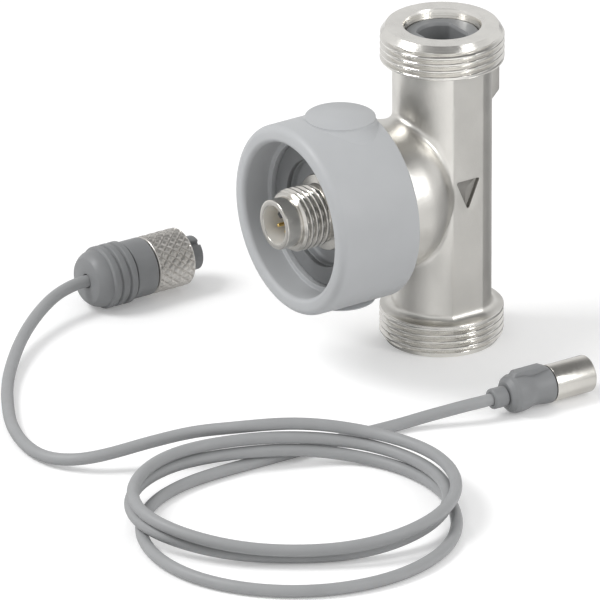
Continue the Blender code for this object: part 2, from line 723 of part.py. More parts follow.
def holder_profile():
    """Nose with a seal groove, flange in the pocket and spigot through the housing's back wall."""
    nose_end = CHANNEL_FLAT + SEAT_GAP
    profile = [(0, nose_end)]
    profile += grooved(
        NOSE_RADIUS, nose_end, HOLDER_BACK, (NOSE_SEAL_PLACE,), NOSE_GROOVE_DEPTH, NOSE_GROOVE_WIDTH,
    )
    flange = POCKET_RADIUS - SEAT_GAP
    spigot_end = BRANCH_FRONT + SPIGOT_LENGTH
    profile += [(flange, HOLDER_BACK), (flange, BRANCH_FRONT)]
    profile += [(SPIGOT_RADIUS, BRANCH_FRONT), (SPIGOT_RADIUS, spigot_end), (0, spigot_end)]
    return profile


def make_sensing_element(head, materials):
    body = turned_mesh("sensor_holder", holder_profile(), PIECE_SIDES)
    holder = add_object("sensor_holder", body, head, materials["inner"])
    spigot_end = BRANCH_FRONT + SPIGOT_LENGTH
    socket_floor = spigot_end - SIGNAL_PIN_SOCKET
    pin_end = BOARD_FRONT + SEAT_GAP
    for index, place in enumerate(signal_pin_places()):
        socket = rod_profile(SIGNAL_PIN_RADIUS + SEAT_GAP, socket_floor, spigot_end + CUT_MARGIN)
        name = f"signal_socket_{index + 1}"
        cut(holder, add_object(name, turned_mesh(name, socket, PIN_SIDES), head, place=(*place, 0)))
        name = f"signal_pin_{index + 1}"
        pin = turned_mesh(name, rod_profile(SIGNAL_PIN_RADIUS, socket_floor + SEAT_GAP, pin_end), PIN_SIDES)
        add_object(name, pin, head, materials["gold"], place=(*place, 0))
    groove_floor = NOSE_RADIUS - NOSE_GROOVE_DEPTH
    middle = (groove_floor + NOSE_HOLE_RADIUS) / 2
    seal = turned_mesh("holder_seal", seal_profile(middle, NOSE_SEAL_SECTION, NOSE_SEAL_PLACE), SEAL_SIDES)
    add_object("holder_seal", seal, head, materials["rubber"])
    outline = block(PADDLE_THICKNESS, PADDLE_HEIGHT, CHANNEL_FLAT - PADDLE_LENGTH, CHANNEL_FLAT)
    add_object("sensing_paddle", extruded_mesh("sensing_paddle", *outline), head, materials["steel"])


# Head housing
def housing_profile():
    """Cup section: back wall, outside, rounded rim, mouth, ledge, shoulder and cavity."""
    hole = SPIGOT_RADIUS + SEAT_GAP
    outer_centre = (HOUSING_RADIUS - RIM_OUTER_ROUNDING, HOUSING_FRONT - RIM_OUTER_ROUNDING)
    inner_centre = (MOUTH_RADIUS + RIM_INNER_ROUNDING, HOUSING_FRONT - RIM_INNER_ROUNDING)
    profile = [(hole, HOUSING_BACK), (HOUSING_RADIUS - HOUSING_EDGE, HOUSING_BACK)]
    profile += [(HOUSING_RADIUS, HOUSING_BACK + HOUSING_EDGE)]
    profile += arc(outer_centre, RIM_OUTER_ROUNDING, 0, 90, 5)
    profile += arc(inner_centre, RIM_INNER_ROUNDING, 90, 180, 4)
    profile += [(MOUTH_RADIUS, LEDGE_PLACE), (LEDGE_RADIUS, LEDGE_PLACE)]
    profile += [(LEDGE_RADIUS, SHOULDER_PLACE), (CAVITY_RADIUS, SHOULDER_PLACE)]
    profile += [(CAVITY_RADIUS, CAVITY_BACK), (hole, CAVITY_BACK)]
    return profile


def make_housing(sensor, head, materials):
    cup = turned_mesh("head_housing", housing_profile(), BODY_SIDES)
    housing = add_object("head_housing", cup, head, materials["housing"])
    for side, name in ((1, "upper_pad"), (-1, "lower_pad")):
        heights = sorted((side * PAD_ROOT, side * PAD_HEIGHT))
        pad = turned_mesh(name, rod_profile(PAD_RADIUS, *heights), PIECE_SIDES)
        join(housing, add_object(name, pad, sensor, place=(0, -PAD_PLACE, HEAD_HEIGHT)))
    for index, place in enumerate(screw_places()):
        name = f"housing_screw_hole_{index + 1}"
        profile = rod_profile(SCREW_RADIUS + SEAT_GAP, HOUSING_BACK - CUT_MARGIN, CAVITY_BACK + CUT_MARGIN)
        cut(housing, add_object(name, turned_mesh(name, profile, PIN_SIDES), head, place=(*place, 0)))


def screw_profile():
    """Socket head screw, its head on the back wall and its point in the branch."""
    head_back = CAVITY_BACK + SEAT_GAP
    head_front = head_back + SCREW_HEAD_HEIGHT
    drive_floor = head_front - SCREW_DRIVE_DEPTH
    return [
        (0, head_back - SCREW_LENGTH),
        (SCREW_RADIUS, head_back - SCREW_LENGTH),
        (SCREW_RADIUS, head_back),
        (SCREW_HEAD_RADIUS, head_back),
        (SCREW_HEAD_RADIUS, head_front),
        (SCREW_DRIVE_RADIUS, head_front),
        (SCREW_DRIVE_RADIUS, drive_floor),
        (0, drive_floor),
    ]


def make_housing_screws(head, materials):
    mesh = turned_mesh("housing_screw", screw_profile(), PIN_SIDES)
    mesh.materials.append(materials["steel"])
    for index, place in enumerate(screw_places()):
        add_object(f"housing_screw_{index + 1}", mesh, head, place=(*place, 0))


# Ring, carrier and board in the head
def ring_profile():
    edge = RING_EDGE
    return [
        (RING_HOLE, RING_BACK),
        (SEATED_RADIUS, RING_BACK),
        (SEATED_RADIUS, RING_FRONT),
        (RING_HOLE + edge, RING_FRONT),
        (RING_HOLE, RING_FRONT - edge),
    ]


def carrier_profile():
    """Dish with a grooved rim under the ring and a floor that the receptacle is clamped to."""
    hole = TAIL_RADIUS + SEAT_GAP
    groove = (CARRIER_FRONT + CARRIER_BACK) / 2
    fillet_centre = (CARRIER_POCKET_RADIUS - CARRIER_FILLET, CARRIER_POCKET + CARRIER_FILLET)
    profile = [(hole, CARRIER_BOTTOM), (CARRIER_DISH_RADIUS, CARRIER_BOTTOM)]
    profile += [(CARRIER_DISH_RADIUS, CARRIER_BACK)]
    profile += grooved(
        SEATED_RADIUS, CARRIER_BACK, CARRIER_FRONT, (groove,), CARRIER_GROOVE_DEPTH, CARRIER_GROOVE_WIDTH,
    )
    profile += [(CARRIER_POCKET_RADIUS, CARRIER_FRONT)]
    profile += arc(fillet_centre, CARRIER_FILLET, 0, -90, 3)
    profile += [(hole, CARRIER_POCKET)]
    return profile


def make_head_inside(head, materials):
    ring = turned_mesh("retaining_ring", ring_profile(), BODY_SIDES)
    add_object("retaining_ring", ring, head, materials["inner"])
    add_object(
        "receptacle_carrier", turned_mesh("receptacle_carrier", carrier_profile(), PIECE_SIDES), head,
        materials["housing"],
    )
    groove_floor = SEATED_RADIUS - CARRIER_GROOVE_DEPTH
    middle = (groove_floor + LEDGE_RADIUS) / 2
    height = (CARRIER_FRONT + CARRIER_BACK) / 2
    seal = turned_mesh("carrier_seal", seal_profile(middle, CARRIER_SEAL_SECTION, height), PIECE_SIDES)
    add_object("carrier_seal", seal, head, materials["rubber"])
    make_board(head, materials)


def make_board(head, materials):
    disc = turned_mesh("circuit_board", rod_profile(BOARD_RADIUS, BOARD_BACK, BOARD_FRONT), PIECE_SIDES)
    board = add_object("circuit_board", disc, head, materials["board"])
    holes = [(place, SIGNAL_PIN_RADIUS) for place in signal_pin_places()]
    holes += [(place, PIN_RADIUS) for place in circle_places(PIN_CIRCLE, PIN_COUNT, PIN_START_ANGLE)]
    for index, (place, radius) in enumerate(holes):
        name = f"board_hole_{index + 1}"
        profile = rod_profile(radius + SEAT_GAP, BOARD_BACK - CUT_MARGIN, BOARD_FRONT + CUT_MARGIN)
        cut(board, add_object(name, turned_mesh(name, profile, PIN_SIDES), head, place=(*place, 0)))
    chip_front = BOARD_BACK - SEAT_GAP
    outline = block(CHIP_SIZE, CHIP_SIZE, chip_front - CHIP_HEIGHT, chip_front, (0, CHIP_PLACE))
    add_object("processor_chip", extruded_mesh("processor_chip", *outline), head, materials["plug"])


# Receptacle
def circle_places(radius, count, start):
    angles = [start + math.tau * index / count for index in range(count)]
    return [(radius * math.cos(angle), radius * math.sin(angle)) for angle in angles]


def shell_profile(turn):
    """Closed section of tail, flange with a recess for the gasket, undercut, thread and sleeve."""
    sleeve_end = SHELL_FRONT - SLEEVE_LENGTH
    thread_end = sleeve_end - THREAD_LENGTH
    undercut = THREAD_RADIUS - UNDERCUT_DEPTH
    recess_radius = GASKET_RADIUS + SEAT_GAP
    recess_floor = FLANGE_BACK + GASKET_THICKNESS + SEAT_GAP
    profile = [
        (SHELL_BORE, TAIL_END),
        (TAIL_RADIUS, TAIL_END),
        (TAIL_RADIUS, recess_floor),
        (recess_radius, recess_floor),
        (recess_radius, FLANGE_BACK),
        (FLANGE_RADIUS, FLANGE_BACK),
        (FLANGE_RADIUS, FLANGE_FRONT),
        (undercut, FLANGE_FRONT),
        (undercut, thread_end),
        (THREAD_RADIUS - THREAD_EDGE, thread_end),
    ]
    thread_start = thread_end + THREAD_EDGE
    thread_stop = sleeve_end - THREAD_EDGE
    turns = turn + THREAD_PHASE
    profile += thread_points(THREAD_RADIUS, THREAD_DEPTH, THREAD_PITCH, thread_start, thread_stop, turns)
    profile += [
        (THREAD_RADIUS - THREAD_EDGE, sleeve_end),
        (SLEEVE_RADIUS, sleeve_end),
        (SLEEVE_RADIUS, SHELL_FRONT - SLEEVE_EDGE),
        (SLEEVE_RADIUS - SLEEVE_EDGE, SHELL_FRONT),
        (SHELL_BORE, SHELL_FRONT),
        (SHELL_BORE, TAIL_END),
    ]
    return profile


def make_receptacle(head, materials):
    tube = threaded_mesh("receptacle_shell", shell_profile, PIECE_SIDES)
    shell = add_object("receptacle_shell", tube, head, materials["nickel"])
    key_end = SHELL_FRONT - SLEEVE_EDGE
    outline = block(KEY_HEIGHT + KEY_ROOT, KEY_WIDTH, CONTACT_FACE + SEAT_GAP, key_end)
    key_radius = SHELL_BORE + (KEY_ROOT - KEY_HEIGHT) / 2
    key_place = (key_radius * math.cos(KEY_ANGLE), key_radius * math.sin(KEY_ANGLE), 0)
    key = extruded_mesh("key_shape", *outline)
    join(shell, add_object("key_shape", key, head, place=key_place, turn=(0, 0, KEY_ANGLE)))

    inner = TAIL_RADIUS + SEAT_GAP
    gasket = tube_profile(inner, GASKET_RADIUS, FLANGE_BACK, FLANGE_BACK + GASKET_THICKNESS)
    washer = turned_mesh("receptacle_gasket", gasket, PIECE_SIDES)
    add_object("receptacle_gasket", washer, head, materials["rubber"])

    nut_outline = circle_places(NUT_ACROSS_CORNERS / 2, 6, 0)
    nut = add_object(
        "receptacle_nut", extruded_mesh("receptacle_nut", nut_outline, NUT_FRONT - NUT_THICKNESS, NUT_FRONT),
        head, materials["nickel"],
    )
    hole = rod_profile(inner, NUT_FRONT - NUT_THICKNESS - CUT_MARGIN, NUT_FRONT + CUT_MARGIN)
    cut(nut, add_object("nut_hole", turned_mesh("nut_hole", hole, PIECE_SIDES), head))

    insert_back = TAIL_END + SEAT_GAP
    core = rod_profile(SHELL_BORE - SEAT_GAP, insert_back, CONTACT_FACE)
    insert = add_object(
        "receptacle_insert", turned_mesh("receptacle_insert", core, PIECE_SIDES), head, materials["inner"],
    )
    pin_back = BOARD_BACK - SEAT_GAP
    for index, place in enumerate(circle_places(PIN_CIRCLE, PIN_COUNT, PIN_START_ANGLE)):
        name = f"contact_hole_{index + 1}"
        profile = rod_profile(PIN_RADIUS + SEAT_GAP, insert_back - CUT_MARGIN, CONTACT_FACE + CUT_MARGIN)
        cut(insert, add_object(name, turned_mesh(name, profile, PIN_SIDES), head, place=(*place, 0)))
        name = f"contact_pin_{index + 1}"
        profile = [(0, pin_back), (PIN_RADIUS, pin_back), (PIN_RADIUS, PIN_TIP - PIN_RADIUS / 2)]
        profile += [(PIN_RADIUS / 2, PIN_TIP), (0, PIN_TIP)]
        add_object(name, turned_mesh(name, profile, PIN_SIDES), head, materials["gold"], place=(*place, 0))


# Cable plug
def plug_cap_profile():
    """Rear cap: domed back, three grip ridges, and a cavity for the barrel's tail."""
    tail_hole = PLUG_TAIL_RADIUS + SEAT_GAP
    cavity_floor = PLUG_CAP_LENGTH - PLUG_TAIL_LENGTH - SEAT_GAP
    profile = [(0, 0), (PLUG_REAR_RADIUS, 0)]
    for step in range(1, PLUG_DOME_STEPS + 1):
        angle = math.pi / 2 * step / PLUG_DOME_STEPS
        radius = PLUG_REAR_RADIUS + (PLUG_DOME_RADIUS - PLUG_REAR_RADIUS) * math.sin(angle)
        profile.append((radius, PLUG_DOME_LENGTH * (1 - math.cos(angle))))
    for index in range(PLUG_RIDGE_COUNT):
        middle = PLUG_RIDGE_START + PLUG_RIDGE_PITCH * index
        half = PLUG_RIDGE_WIDTH / 2
        profile += [(PLUG_DOME_RADIUS, middle - half), (PLUG_RIDGE_RADIUS, middle - half / 2)]
        profile += [(PLUG_RIDGE_RADIUS, middle + half / 2), (PLUG_DOME_RADIUS, middle + half)]
    profile += [(PLUG_CAP_RADIUS, PLUG_CAP_LENGTH), (tail_hole, PLUG_CAP_LENGTH)]
    profile += [(tail_hole, cavity_floor), (0, cavity_floor)]
    return profile


def plug_barrel_profile():
    """Barrel between cap and ring, with a tail in the cap and a grooved neck in the ring."""
    inner = PLUG_INSERT_RADIUS + SEAT_GAP
    start = PLUG_CAP_LENGTH + SEAT_GAP
    tail_start = PLUG_CAP_LENGTH - PLUG_TAIL_LENGTH
    neck_end = PLUG_BARREL_END + PLUG_NECK_LENGTH
    groove_end = CLIP_START + CLIP_THICKNESS + SEAT_GAP
    insert_seat = PLUG_INSERT_START - SEAT_GAP
    return [
        (0, tail_start),
        (PLUG_TAIL_RADIUS, tail_start),
        (PLUG_TAIL_RADIUS, start),
        (PLUG_BARREL_RADIUS, start),
        (PLUG_BARREL_RADIUS, PLUG_BARREL_END),
        (PLUG_NECK_RADIUS, PLUG_BARREL_END),
        (PLUG_NECK_RADIUS, COUPLING_STOP_END),
        (CLIP_GROOVE_FLOOR, COUPLING_STOP_END),
        (CLIP_GROOVE_FLOOR, groove_end),
        (PLUG_NECK_RADIUS, groove_end),
        (PLUG_NECK_RADIUS, neck_end),
        (inner, neck_end),
        (inner, insert_seat),
        (0, insert_seat),
    ]


def coupling_ring_mesh():
    """Ring with a diamond knurl: valleys cross where column and row are both odd or both even."""
    columns = 2 * KNURL_COUNT
    stop_radius = PLUG_NECK_RADIUS + SEAT_GAP
    length = COUPLING_LENGTH
    knurl_length = length - 2 * COUPLING_EDGE
    plain_rows = [
        (COUPLING_CAVITY, length),
        (COUPLING_CAVITY, COUPLING_STOP_LENGTH),
        (stop_radius, COUPLING_STOP_LENGTH),
        (stop_radius, 0),
        (COUPLING_RADIUS - COUPLING_EDGE, 0),
    ]
    front_row = (COUPLING_RADIUS - COUPLING_EDGE / 2, length)
    rows = [[radius] * columns + [height] for radius, height in plain_rows]
    for row in range(KNURL_ROWS + 1):
        height = COUPLING_EDGE + knurl_length * row / KNURL_ROWS
        radii = [COUPLING_RADIUS - KNURL_DEPTH * ((column + row + 1) % 2) for column in range(columns)]
        rows.append(radii + [height])
    rows.append([front_row[0]] * columns + [front_row[1]])
    shape = bmesh.new()
    rings = []
    for row in rows:
        height = row[-1]
        ring = []
        for column in range(columns):
            angle = math.tau * column / columns
            reach = row[column]
            ring.append(shape.verts.new((reach * math.cos(angle), reach * math.sin(angle), height)))
        rings.append(ring)
    first_knurl = len(plain_rows)
    for index, ring in enumerate(rings):
        after = rings[(index + 1) % len(rings)]
        knurled = first_knurl <= index < first_knurl + KNURL_ROWS
        for column in range(columns):
            beside = (column + 1) % columns
            corners = (ring[column], ring[beside], after[beside], after[column])
            if not knurled:
                shape.faces.new(corners)
            elif (column + index - first_knurl) % 2 == 0:
                shape.faces.new((corners[0], corners[1], corners[2]))
                shape.faces.new((corners[0], corners[2], corners[3]))
            else:
                shape.faces.new((corners[1], corners[2], corners[3]))
                shape.faces.new((corners[1], corners[3], corners[0]))
    return finish_mesh(shape, "coupling_ring")


def make_plug(plug, materials):
    cap = turned_mesh("plug_rear_cap", plug_cap_profile(), PIECE_SIDES)
    add_object("plug_rear_cap", cap, plug, materials["plug"])
    barrel = turned_mesh("plug_barrel", plug_barrel_profile(), PIECE_SIDES)
    add_object("plug_barrel", barrel, plug, materials["plug"])
    add_object("coupling_ring", coupling_ring_mesh(), plug, materials["nickel"], place=(0, 0, COUPLING_START))
    clip = tube_profile(CLIP_GROOVE_FLOOR + SEAT_GAP, CLIP_RADIUS, CLIP_START, CLIP_START + CLIP_THICKNESS)
    add_object("ring_clip", turned_mesh("ring_clip", clip, PIECE_SIDES), plug, materials["steel"])
    core = rod_profile(PLUG_INSERT_RADIUS, PLUG_INSERT_START, PLUG_INSERT_END)
    insert = turned_mesh("plug_insert", core, PIECE_SIDES)
    insert = add_object("plug_insert", insert, plug, materials["inner"])
    outline = block(
        2 * PLUG_KEYWAY_DEPTH, PLUG_KEYWAY_WIDTH, PLUG_BARREL_END + PLUG_NECK_LENGTH + SEAT_GAP,
        PLUG_INSERT_END + CUT_MARGIN, (PLUG_INSERT_RADIUS, 0),
    )
    keyway = extruded_mesh("keyway_shape", *outline)
    cut(insert, add_object("keyway_shape", keyway, plug, turn=(0, 0, -KEY_ANGLE)))
    hole_floor = PLUG_INSERT_END - SOCKET_HOLE_DEPTH
    outer = SOCKET_HOLE_RADIUS - SEAT_GAP
    contact = tube_profile(outer - SOCKET_WALL, outer, hole_floor + SEAT_GAP, PLUG_INSERT_END - SOCKET_RECESS)
    for index, place in enumerate(circle_places(PIN_CIRCLE, PIN_COUNT, PIN_START_ANGLE)):
        name = f"socket_hole_{index + 1}"
        profile = rod_profile(SOCKET_HOLE_RADIUS, hole_floor, PLUG_INSERT_END + CUT_MARGIN)
        cut(insert, add_object(name, turned_mesh(name, profile, PIN_SIDES), plug, place=(*place, 0)))
        name = f"socket_contact_{index + 1}"
        add_object(name, turned_mesh(name, contact, PIN_SIDES), plug, materials["gold"], place=(*place, 0))


# Slim connector
def ferrule_profile():
    return [
        (0, 0),
        (FERRULE_RADIUS - FERRULE_EDGE, 0),
        (FERRULE_RADIUS, FERRULE_EDGE),
        (FERRULE_RADIUS, FERRULE_LENGTH),
        (0, FERRULE_LENGTH),
    ]


def grip_profile():
    """Moulded grip: conical back, rounded bulge, drawn-in waist and plain front."""
    start = FERRULE_LENGTH + SEAT_GAP
    profile = [(0, start), (GRIP_REAR_RADIUS, start), (GRIP_BULGE_RADIUS, GRIP_BULGE_START)]
    profile += [(GRIP_BULGE_RADIUS, GRIP_BULGE_END)]
    drop = GRIP_BULGE_RADIUS - GRIP_WAIST_RADIUS
    rise = GRIP_FRONT_RADIUS - GRIP_WAIST_RADIUS
    for step in range(1, GRIP_WAVE_STEPS + 1):
        share = step / GRIP_WAVE_STEPS
        height = GRIP_BULGE_END + (GRIP_WAIST_PLACE - GRIP_BULGE_END) * share
        profile.append((GRIP_BULGE_RADIUS - drop * (1 - math.cos(math.pi * share)) / 2, height))
    for step in range(1, GRIP_WAVE_STEPS + 1):
        share = step / GRIP_WAVE_STEPS
        height = GRIP_WAIST_PLACE + (GRIP_END - GRIP_WAIST_PLACE) * share
        profile.append((GRIP_WAIST_RADIUS + rise * (1 - math.cos(math.pi * share)) / 2, height))
    profile.append((0, GRIP_END))
    return profile


def grip_rib_outline():
    """Side view of the orientation rib, (reach, height along the axis), with sloped ends."""
    start = FERRULE_LENGTH + SEAT_GAP + GRIP_RIB_INSET
    end = GRIP_END - SEAT_GAP
    root = GRIP_REAR_RADIUS / 2
    return [
        (root, start),
        (GRIP_REAR_RADIUS, start),
        (GRIP_RIB_TOP, start + GRIP_RIB_SLOPE),
        (GRIP_RIB_TOP, end - GRIP_RIB_SLOPE),
        (GRIP_FRONT_RADIUS, end),
        (root, end),
    ]


def sleeve_profile():
    """Open shell in front of the grip, closed by the insert."""
    inner = SHELL_SLEEVE_RADIUS - SHELL_SLEEVE_WALL
    rounding = SHELL_SLEEVE_ROUNDING
    start = GRIP_END + SEAT_GAP
    profile = [(inner, start), (SHELL_SLEEVE_RADIUS, start)]
    profile += arc((SHELL_SLEEVE_RADIUS - rounding, SHELL_SLEEVE_END - rounding), rounding, 0, 90, 3)
    profile += [(inner, SHELL_SLEEVE_END)]
    return profile


def make_connector(connector, materials):
    ferrule = turned_mesh("connector_ferrule", ferrule_profile(), SMALL_SIDES)
    add_object("connector_ferrule", ferrule, connector, materials["plug"])
    handle = turned_mesh("connector_grip", grip_profile(), PIECE_SIDES)
    grip = add_object("connector_grip", handle, connector, materials["plug"])
    rib = extruded_mesh("rib_on_grip", grip_rib_outline(), -GRIP_RIB_WIDTH / 2, GRIP_RIB_WIDTH / 2)
    join(grip, add_object("rib_on_grip", rib, connector, turn=(math.pi / 2, 0, -math.pi / 2)))
    sleeve = turned_mesh("connector_sleeve", sleeve_profile(), PIECE_SIDES)
    add_object("connector_sleeve", sleeve, connector, materials["nickel"])
    insert_radius = SHELL_SLEEVE_RADIUS - SHELL_SLEEVE_WALL - SEAT_GAP
    core = rod_profile(insert_radius, GRIP_END + SEAT_GAP, CONNECTOR_INSERT_FACE)
    insert = add_object(
        "connector_insert", turned_mesh("connector_insert", core, PIECE_SIDES), connector, materials["inner"],
    )
    for index, place in enumerate(circle_places(CONNECTOR_PIN_CIRCLE, PIN_COUNT, PIN_START_ANGLE)):
        name = f"connector_hole_{index + 1}"
        hole_start = CONNECTOR_PIN_ROOT - SEAT_GAP
        hole_end = CONNECTOR_INSERT_FACE + CUT_MARGIN
        profile = rod_profile(CONNECTOR_PIN_RADIUS + SEAT_GAP, hole_start, hole_end)
        cut(insert, add_object(name, turned_mesh(name, profile, PIN_SIDES), connector, place=(*place, 0)))
        name = f"connector_pin_{index + 1}"
        profile = rod_profile(CONNECTOR_PIN_RADIUS, CONNECTOR_PIN_ROOT, CONNECTOR_PIN_TIP)
        pin = turned_mesh(name, profile, PIN_SIDES)
        add_object(name, pin, connector, materials["gold"], place=(*place, 0))


# Cable
def smooth_route(route, spacing):
    """Points at even spacing on a smooth curve through the route's own points."""
    points = [Vector(point) for point in route]
    before = [2 * points[0] - points[1]] + points[:-1]
    after = points[1:] + [2 * points[-1] - points[-2]]
    slopes = [(end - start) / 2 for start, end in zip(before, after)]
    fine = [points[0]]
    for start, end, leaving, arriving in zip(points, points[1:], slopes, slopes[1:]):
        for step in range(1, ROUTE_STEPS + 1):
            t = step / ROUTE_STEPS
            start_weight = 2 * t ** 3 - 3 * t ** 2 + 1
            turned = (t ** 3 - 2 * t ** 2 + t) * leaving + (t ** 3 - t ** 2) * arriving
            fine.append(start_weight * start + (1 - start_weight) * end + turned)
    lengths = [0]
    for start, end in zip(fine, fine[1:]):
        lengths.append(lengths[-1] + (end - start).length)
    wanted = np.linspace(0, lengths[-1], max(2, round(lengths[-1] / spacing)) + 1)
    columns = [np.interp(wanted, lengths, [point[axis] for point in fine]) for axis in range(3)]
    return [Vector(point) for point in zip(*columns)]


def make_lead(name, route, parent, material):
    curve = bpy.data.curves.new(name, "CURVE")
    curve.dimensions = "3D"
    curve.bevel_depth = CABLE_DIAMETER / 2
    curve.bevel_resolution = CABLE_BEVEL_COUNT
    curve.use_fill_caps = True
    curve.render_resolution_u = 0
    points = smooth_route(route, CABLE_POINT_SPACING)
    spline = curve.splines.new("POLY")
    spline.points.add(len(points[1:]))
    for knot, point in zip(spline.points, points):
        knot.co = (*point, 1)
    add_object(name, curve, parent, material)


def blend(share):
    share = min(1, max(0, share))
    return share * share * (3 - 2 * share)


def coil_section(angle):
    """Section of the coiled turns at an angle from the back: inner and outer edge, bottom and top."""
    radius = CABLE_DIAMETER / 2
    frontness = blend((1 - math.cos(angle)) / 2)
    beside = abs((angle - ARCH_CENTRE + math.pi) % math.tau - math.pi)
    arched = blend((ARCH_HALF_WIDTH - beside) / ARCH_RAMP)
    outer_depth = COIL_BACK_OUTER + (COIL_FRONT_OUTER - COIL_BACK_OUTER) * frontness - ARCH_DRAW * arched
    inner_depth = COIL_BACK_INNER + (COIL_FRONT_INNER - COIL_BACK_INNER) * frontness - ARCH_DRAW * arched
    outer = (
        (COIL_SIDE_OUTER + radius) * math.sin(angle),
        (outer_depth + radius) * math.cos(angle),
    )
    inner = (
        (COIL_SIDE_INNER - radius) * math.sin(angle),
        (inner_depth - radius) * math.cos(angle),
    )
    lift = arched * (CABLE_DIAMETER + 2 * SEAT_GAP)
    layers = COIL_BACK_LAYERS + (COIL_FRONT_LAYERS - COIL_BACK_LAYERS) * frontness
    bottom = FLOOR_LIFT + lift
    return inner, outer, bottom, bottom + layers * CABLE_DIAMETER


def make_coil(coil, materials):
    """One closed solid of the outer shape of the three turns, arched over the outgoing lead."""
    rows = []
    for station in range(COIL_STATIONS):
        inner, outer, bottom, top = coil_section(math.tau * station / COIL_STATIONS)
        across = Vector((outer[0] - inner[0], outer[1] - inner[1])).normalized() * COIL_EDGE
        rows.append([
            (inner[0], inner[1], bottom + COIL_EDGE),
            (inner[0] + across.x, inner[1] + across.y, bottom),
            (outer[0] - across.x, outer[1] - across.y, bottom),
            (outer[0], outer[1], bottom + COIL_EDGE),
            (outer[0], outer[1], top - COIL_EDGE),
            (outer[0] - across.x, outer[1] - across.y, top),
            (inner[0] + across.x, inner[1] + across.y, top),
            (inner[0], inner[1], top - COIL_EDGE),
        ])
    add_object("cable_coil", lofted_mesh("cable_coil", rows, True), coil, materials["cable"])


def main():
    clear_scene()
    materials = make_materials()
    sensor = add_frame("sensor_frame", (0, PIPE_PLACE, 0))
    head = add_frame("head_frame", (0, 0, HEAD_HEIGHT), TOWARDS_FRONT, sensor)
    plug = add_frame("plug_frame", (*PLUG_PLACE, PLUG_HEIGHT), TOWARDS_BACK, sensor)
    connector = add_frame("connector_frame", (*CONNECTOR_PLACE, CONNECTOR_HEIGHT), TOWARDS_BACK, sensor)
    coil = add_frame("coil_frame", (*COIL_CENTRE, 0), (0, 0, COIL_ANGLE), sensor)
    make_flow_body(sensor, head, materials)
    make_measuring_insert(sensor, head, materials)
    make_sensing_element(head, materials)
    make_housing(sensor, head, materials)
    make_housing_screws(head, materials)
    make_head_inside(head, materials)
    make_receptacle(head, materials)
    make_plug(plug, materials)
    make_connector(connector, materials)
    make_lead("cable_lead_plug_side", PLUG_LEAD_ROUTE, sensor, materials["cable"])
    make_coil(coil, materials)
    make_lead("cable_lead_connector_side", CONNECTOR_LEAD_ROUTE, sensor, materials["cable"])


main()
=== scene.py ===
"""Dressed flow sensor with its unplugged lead, on a pale floor. Lengths are in millimetres until a mesh is made."""
import json
import math

import bmesh
import bpy
import numpy as np
from mathutils import Matrix, Vector
from mathutils.geometry import delaunay_2d_cdt


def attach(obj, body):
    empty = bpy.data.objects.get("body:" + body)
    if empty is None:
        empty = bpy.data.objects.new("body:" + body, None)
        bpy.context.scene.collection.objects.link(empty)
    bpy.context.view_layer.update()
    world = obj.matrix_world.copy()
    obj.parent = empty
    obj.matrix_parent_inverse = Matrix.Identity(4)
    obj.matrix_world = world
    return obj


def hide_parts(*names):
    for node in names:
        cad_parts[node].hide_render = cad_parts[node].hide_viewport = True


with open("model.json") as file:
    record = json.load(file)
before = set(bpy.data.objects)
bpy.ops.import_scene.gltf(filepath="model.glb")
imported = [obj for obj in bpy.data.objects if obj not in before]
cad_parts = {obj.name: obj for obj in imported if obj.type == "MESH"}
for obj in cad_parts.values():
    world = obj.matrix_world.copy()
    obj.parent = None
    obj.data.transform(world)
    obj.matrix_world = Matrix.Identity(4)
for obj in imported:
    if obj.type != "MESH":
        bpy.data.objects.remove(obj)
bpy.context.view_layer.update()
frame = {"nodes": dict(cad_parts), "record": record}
MM = 0.001
BODY = "sensor_and_lead"
RING = "ring"

# Places of the pieces' own frames, as in the CAD source
PIPE_Y = 18.25
HEAD_Z = 45.0
HEAD = Matrix.Translation((0, PIPE_Y, HEAD_Z)) @ Matrix.Rotation(math.pi / 2, 4, "X")
FOOT = Matrix.Translation((0, PIPE_Y, 0))
PLUG = Matrix.Translation((-65.95, PIPE_Y - 69.75, 8.6)) @ Matrix.Rotation(-math.pi / 2, 4, "X")
CONNECTOR = Matrix.Translation((52.5, PIPE_Y - 19.95, 5.4)) @ Matrix.Rotation(-math.pi / 2, 4, "X")
KEY_ANGLE = math.radians(57)
PIN_ANGLE = math.radians(36)
PIN_COUNT = 4
PIN_CIRCLE, SLIM_PIN_CIRCLE = 2.6, 2.0
PIN_RADIUS = 0.5


# ---- camera: a long lens, almost parallel, at the drawing's angle; lengths in metres
VIEW_RIGHT = Vector((0.5592, 0.8290, 0.0))
VIEW_UP = Vector((-0.3345, 0.2256, 0.9150))
VIEW_WIDTH = 0.15936  # 600 pixels of 0.2656 mm
AIM_RIGHT, AIM_UP, AIM_BACK = -0.0377, 0.00916, 0.025  # from the foot of the pipe's axis
LENS_MM, SENSOR_MM = 1600.0, 36.0


def make_camera():
    up = VIEW_UP.normalized()
    right = (VIEW_RIGHT - up * VIEW_RIGHT.dot(up)).normalized()
    back = right.cross(up)
    distance = VIEW_WIDTH * LENS_MM / SENSOR_MM
    aim = Vector((0, PIPE_Y * MM, 0)) + right * AIM_RIGHT + up * AIM_UP + back * AIM_BACK
    data = bpy.data.cameras.new("camera")
    data.lens, data.sensor_width = LENS_MM, SENSOR_MM
    data.clip_start, data.clip_end = 1.0, 30.0
    camera = bpy.data.objects.new("camera", data)
    bpy.context.scene.collection.objects.link(camera)
    turn = Matrix((right, up, back)).transposed().to_4x4()
    camera.matrix_world = Matrix.Translation(aim + back * distance) @ turn
    bpy.context.scene.camera = camera


make_camera()


# ---- materials; scales are per metre, distances in metres
SMEAR_SCALE = 3.1  # how much finer the roughness varies than the colour
LATHE_SCALE = 450.0


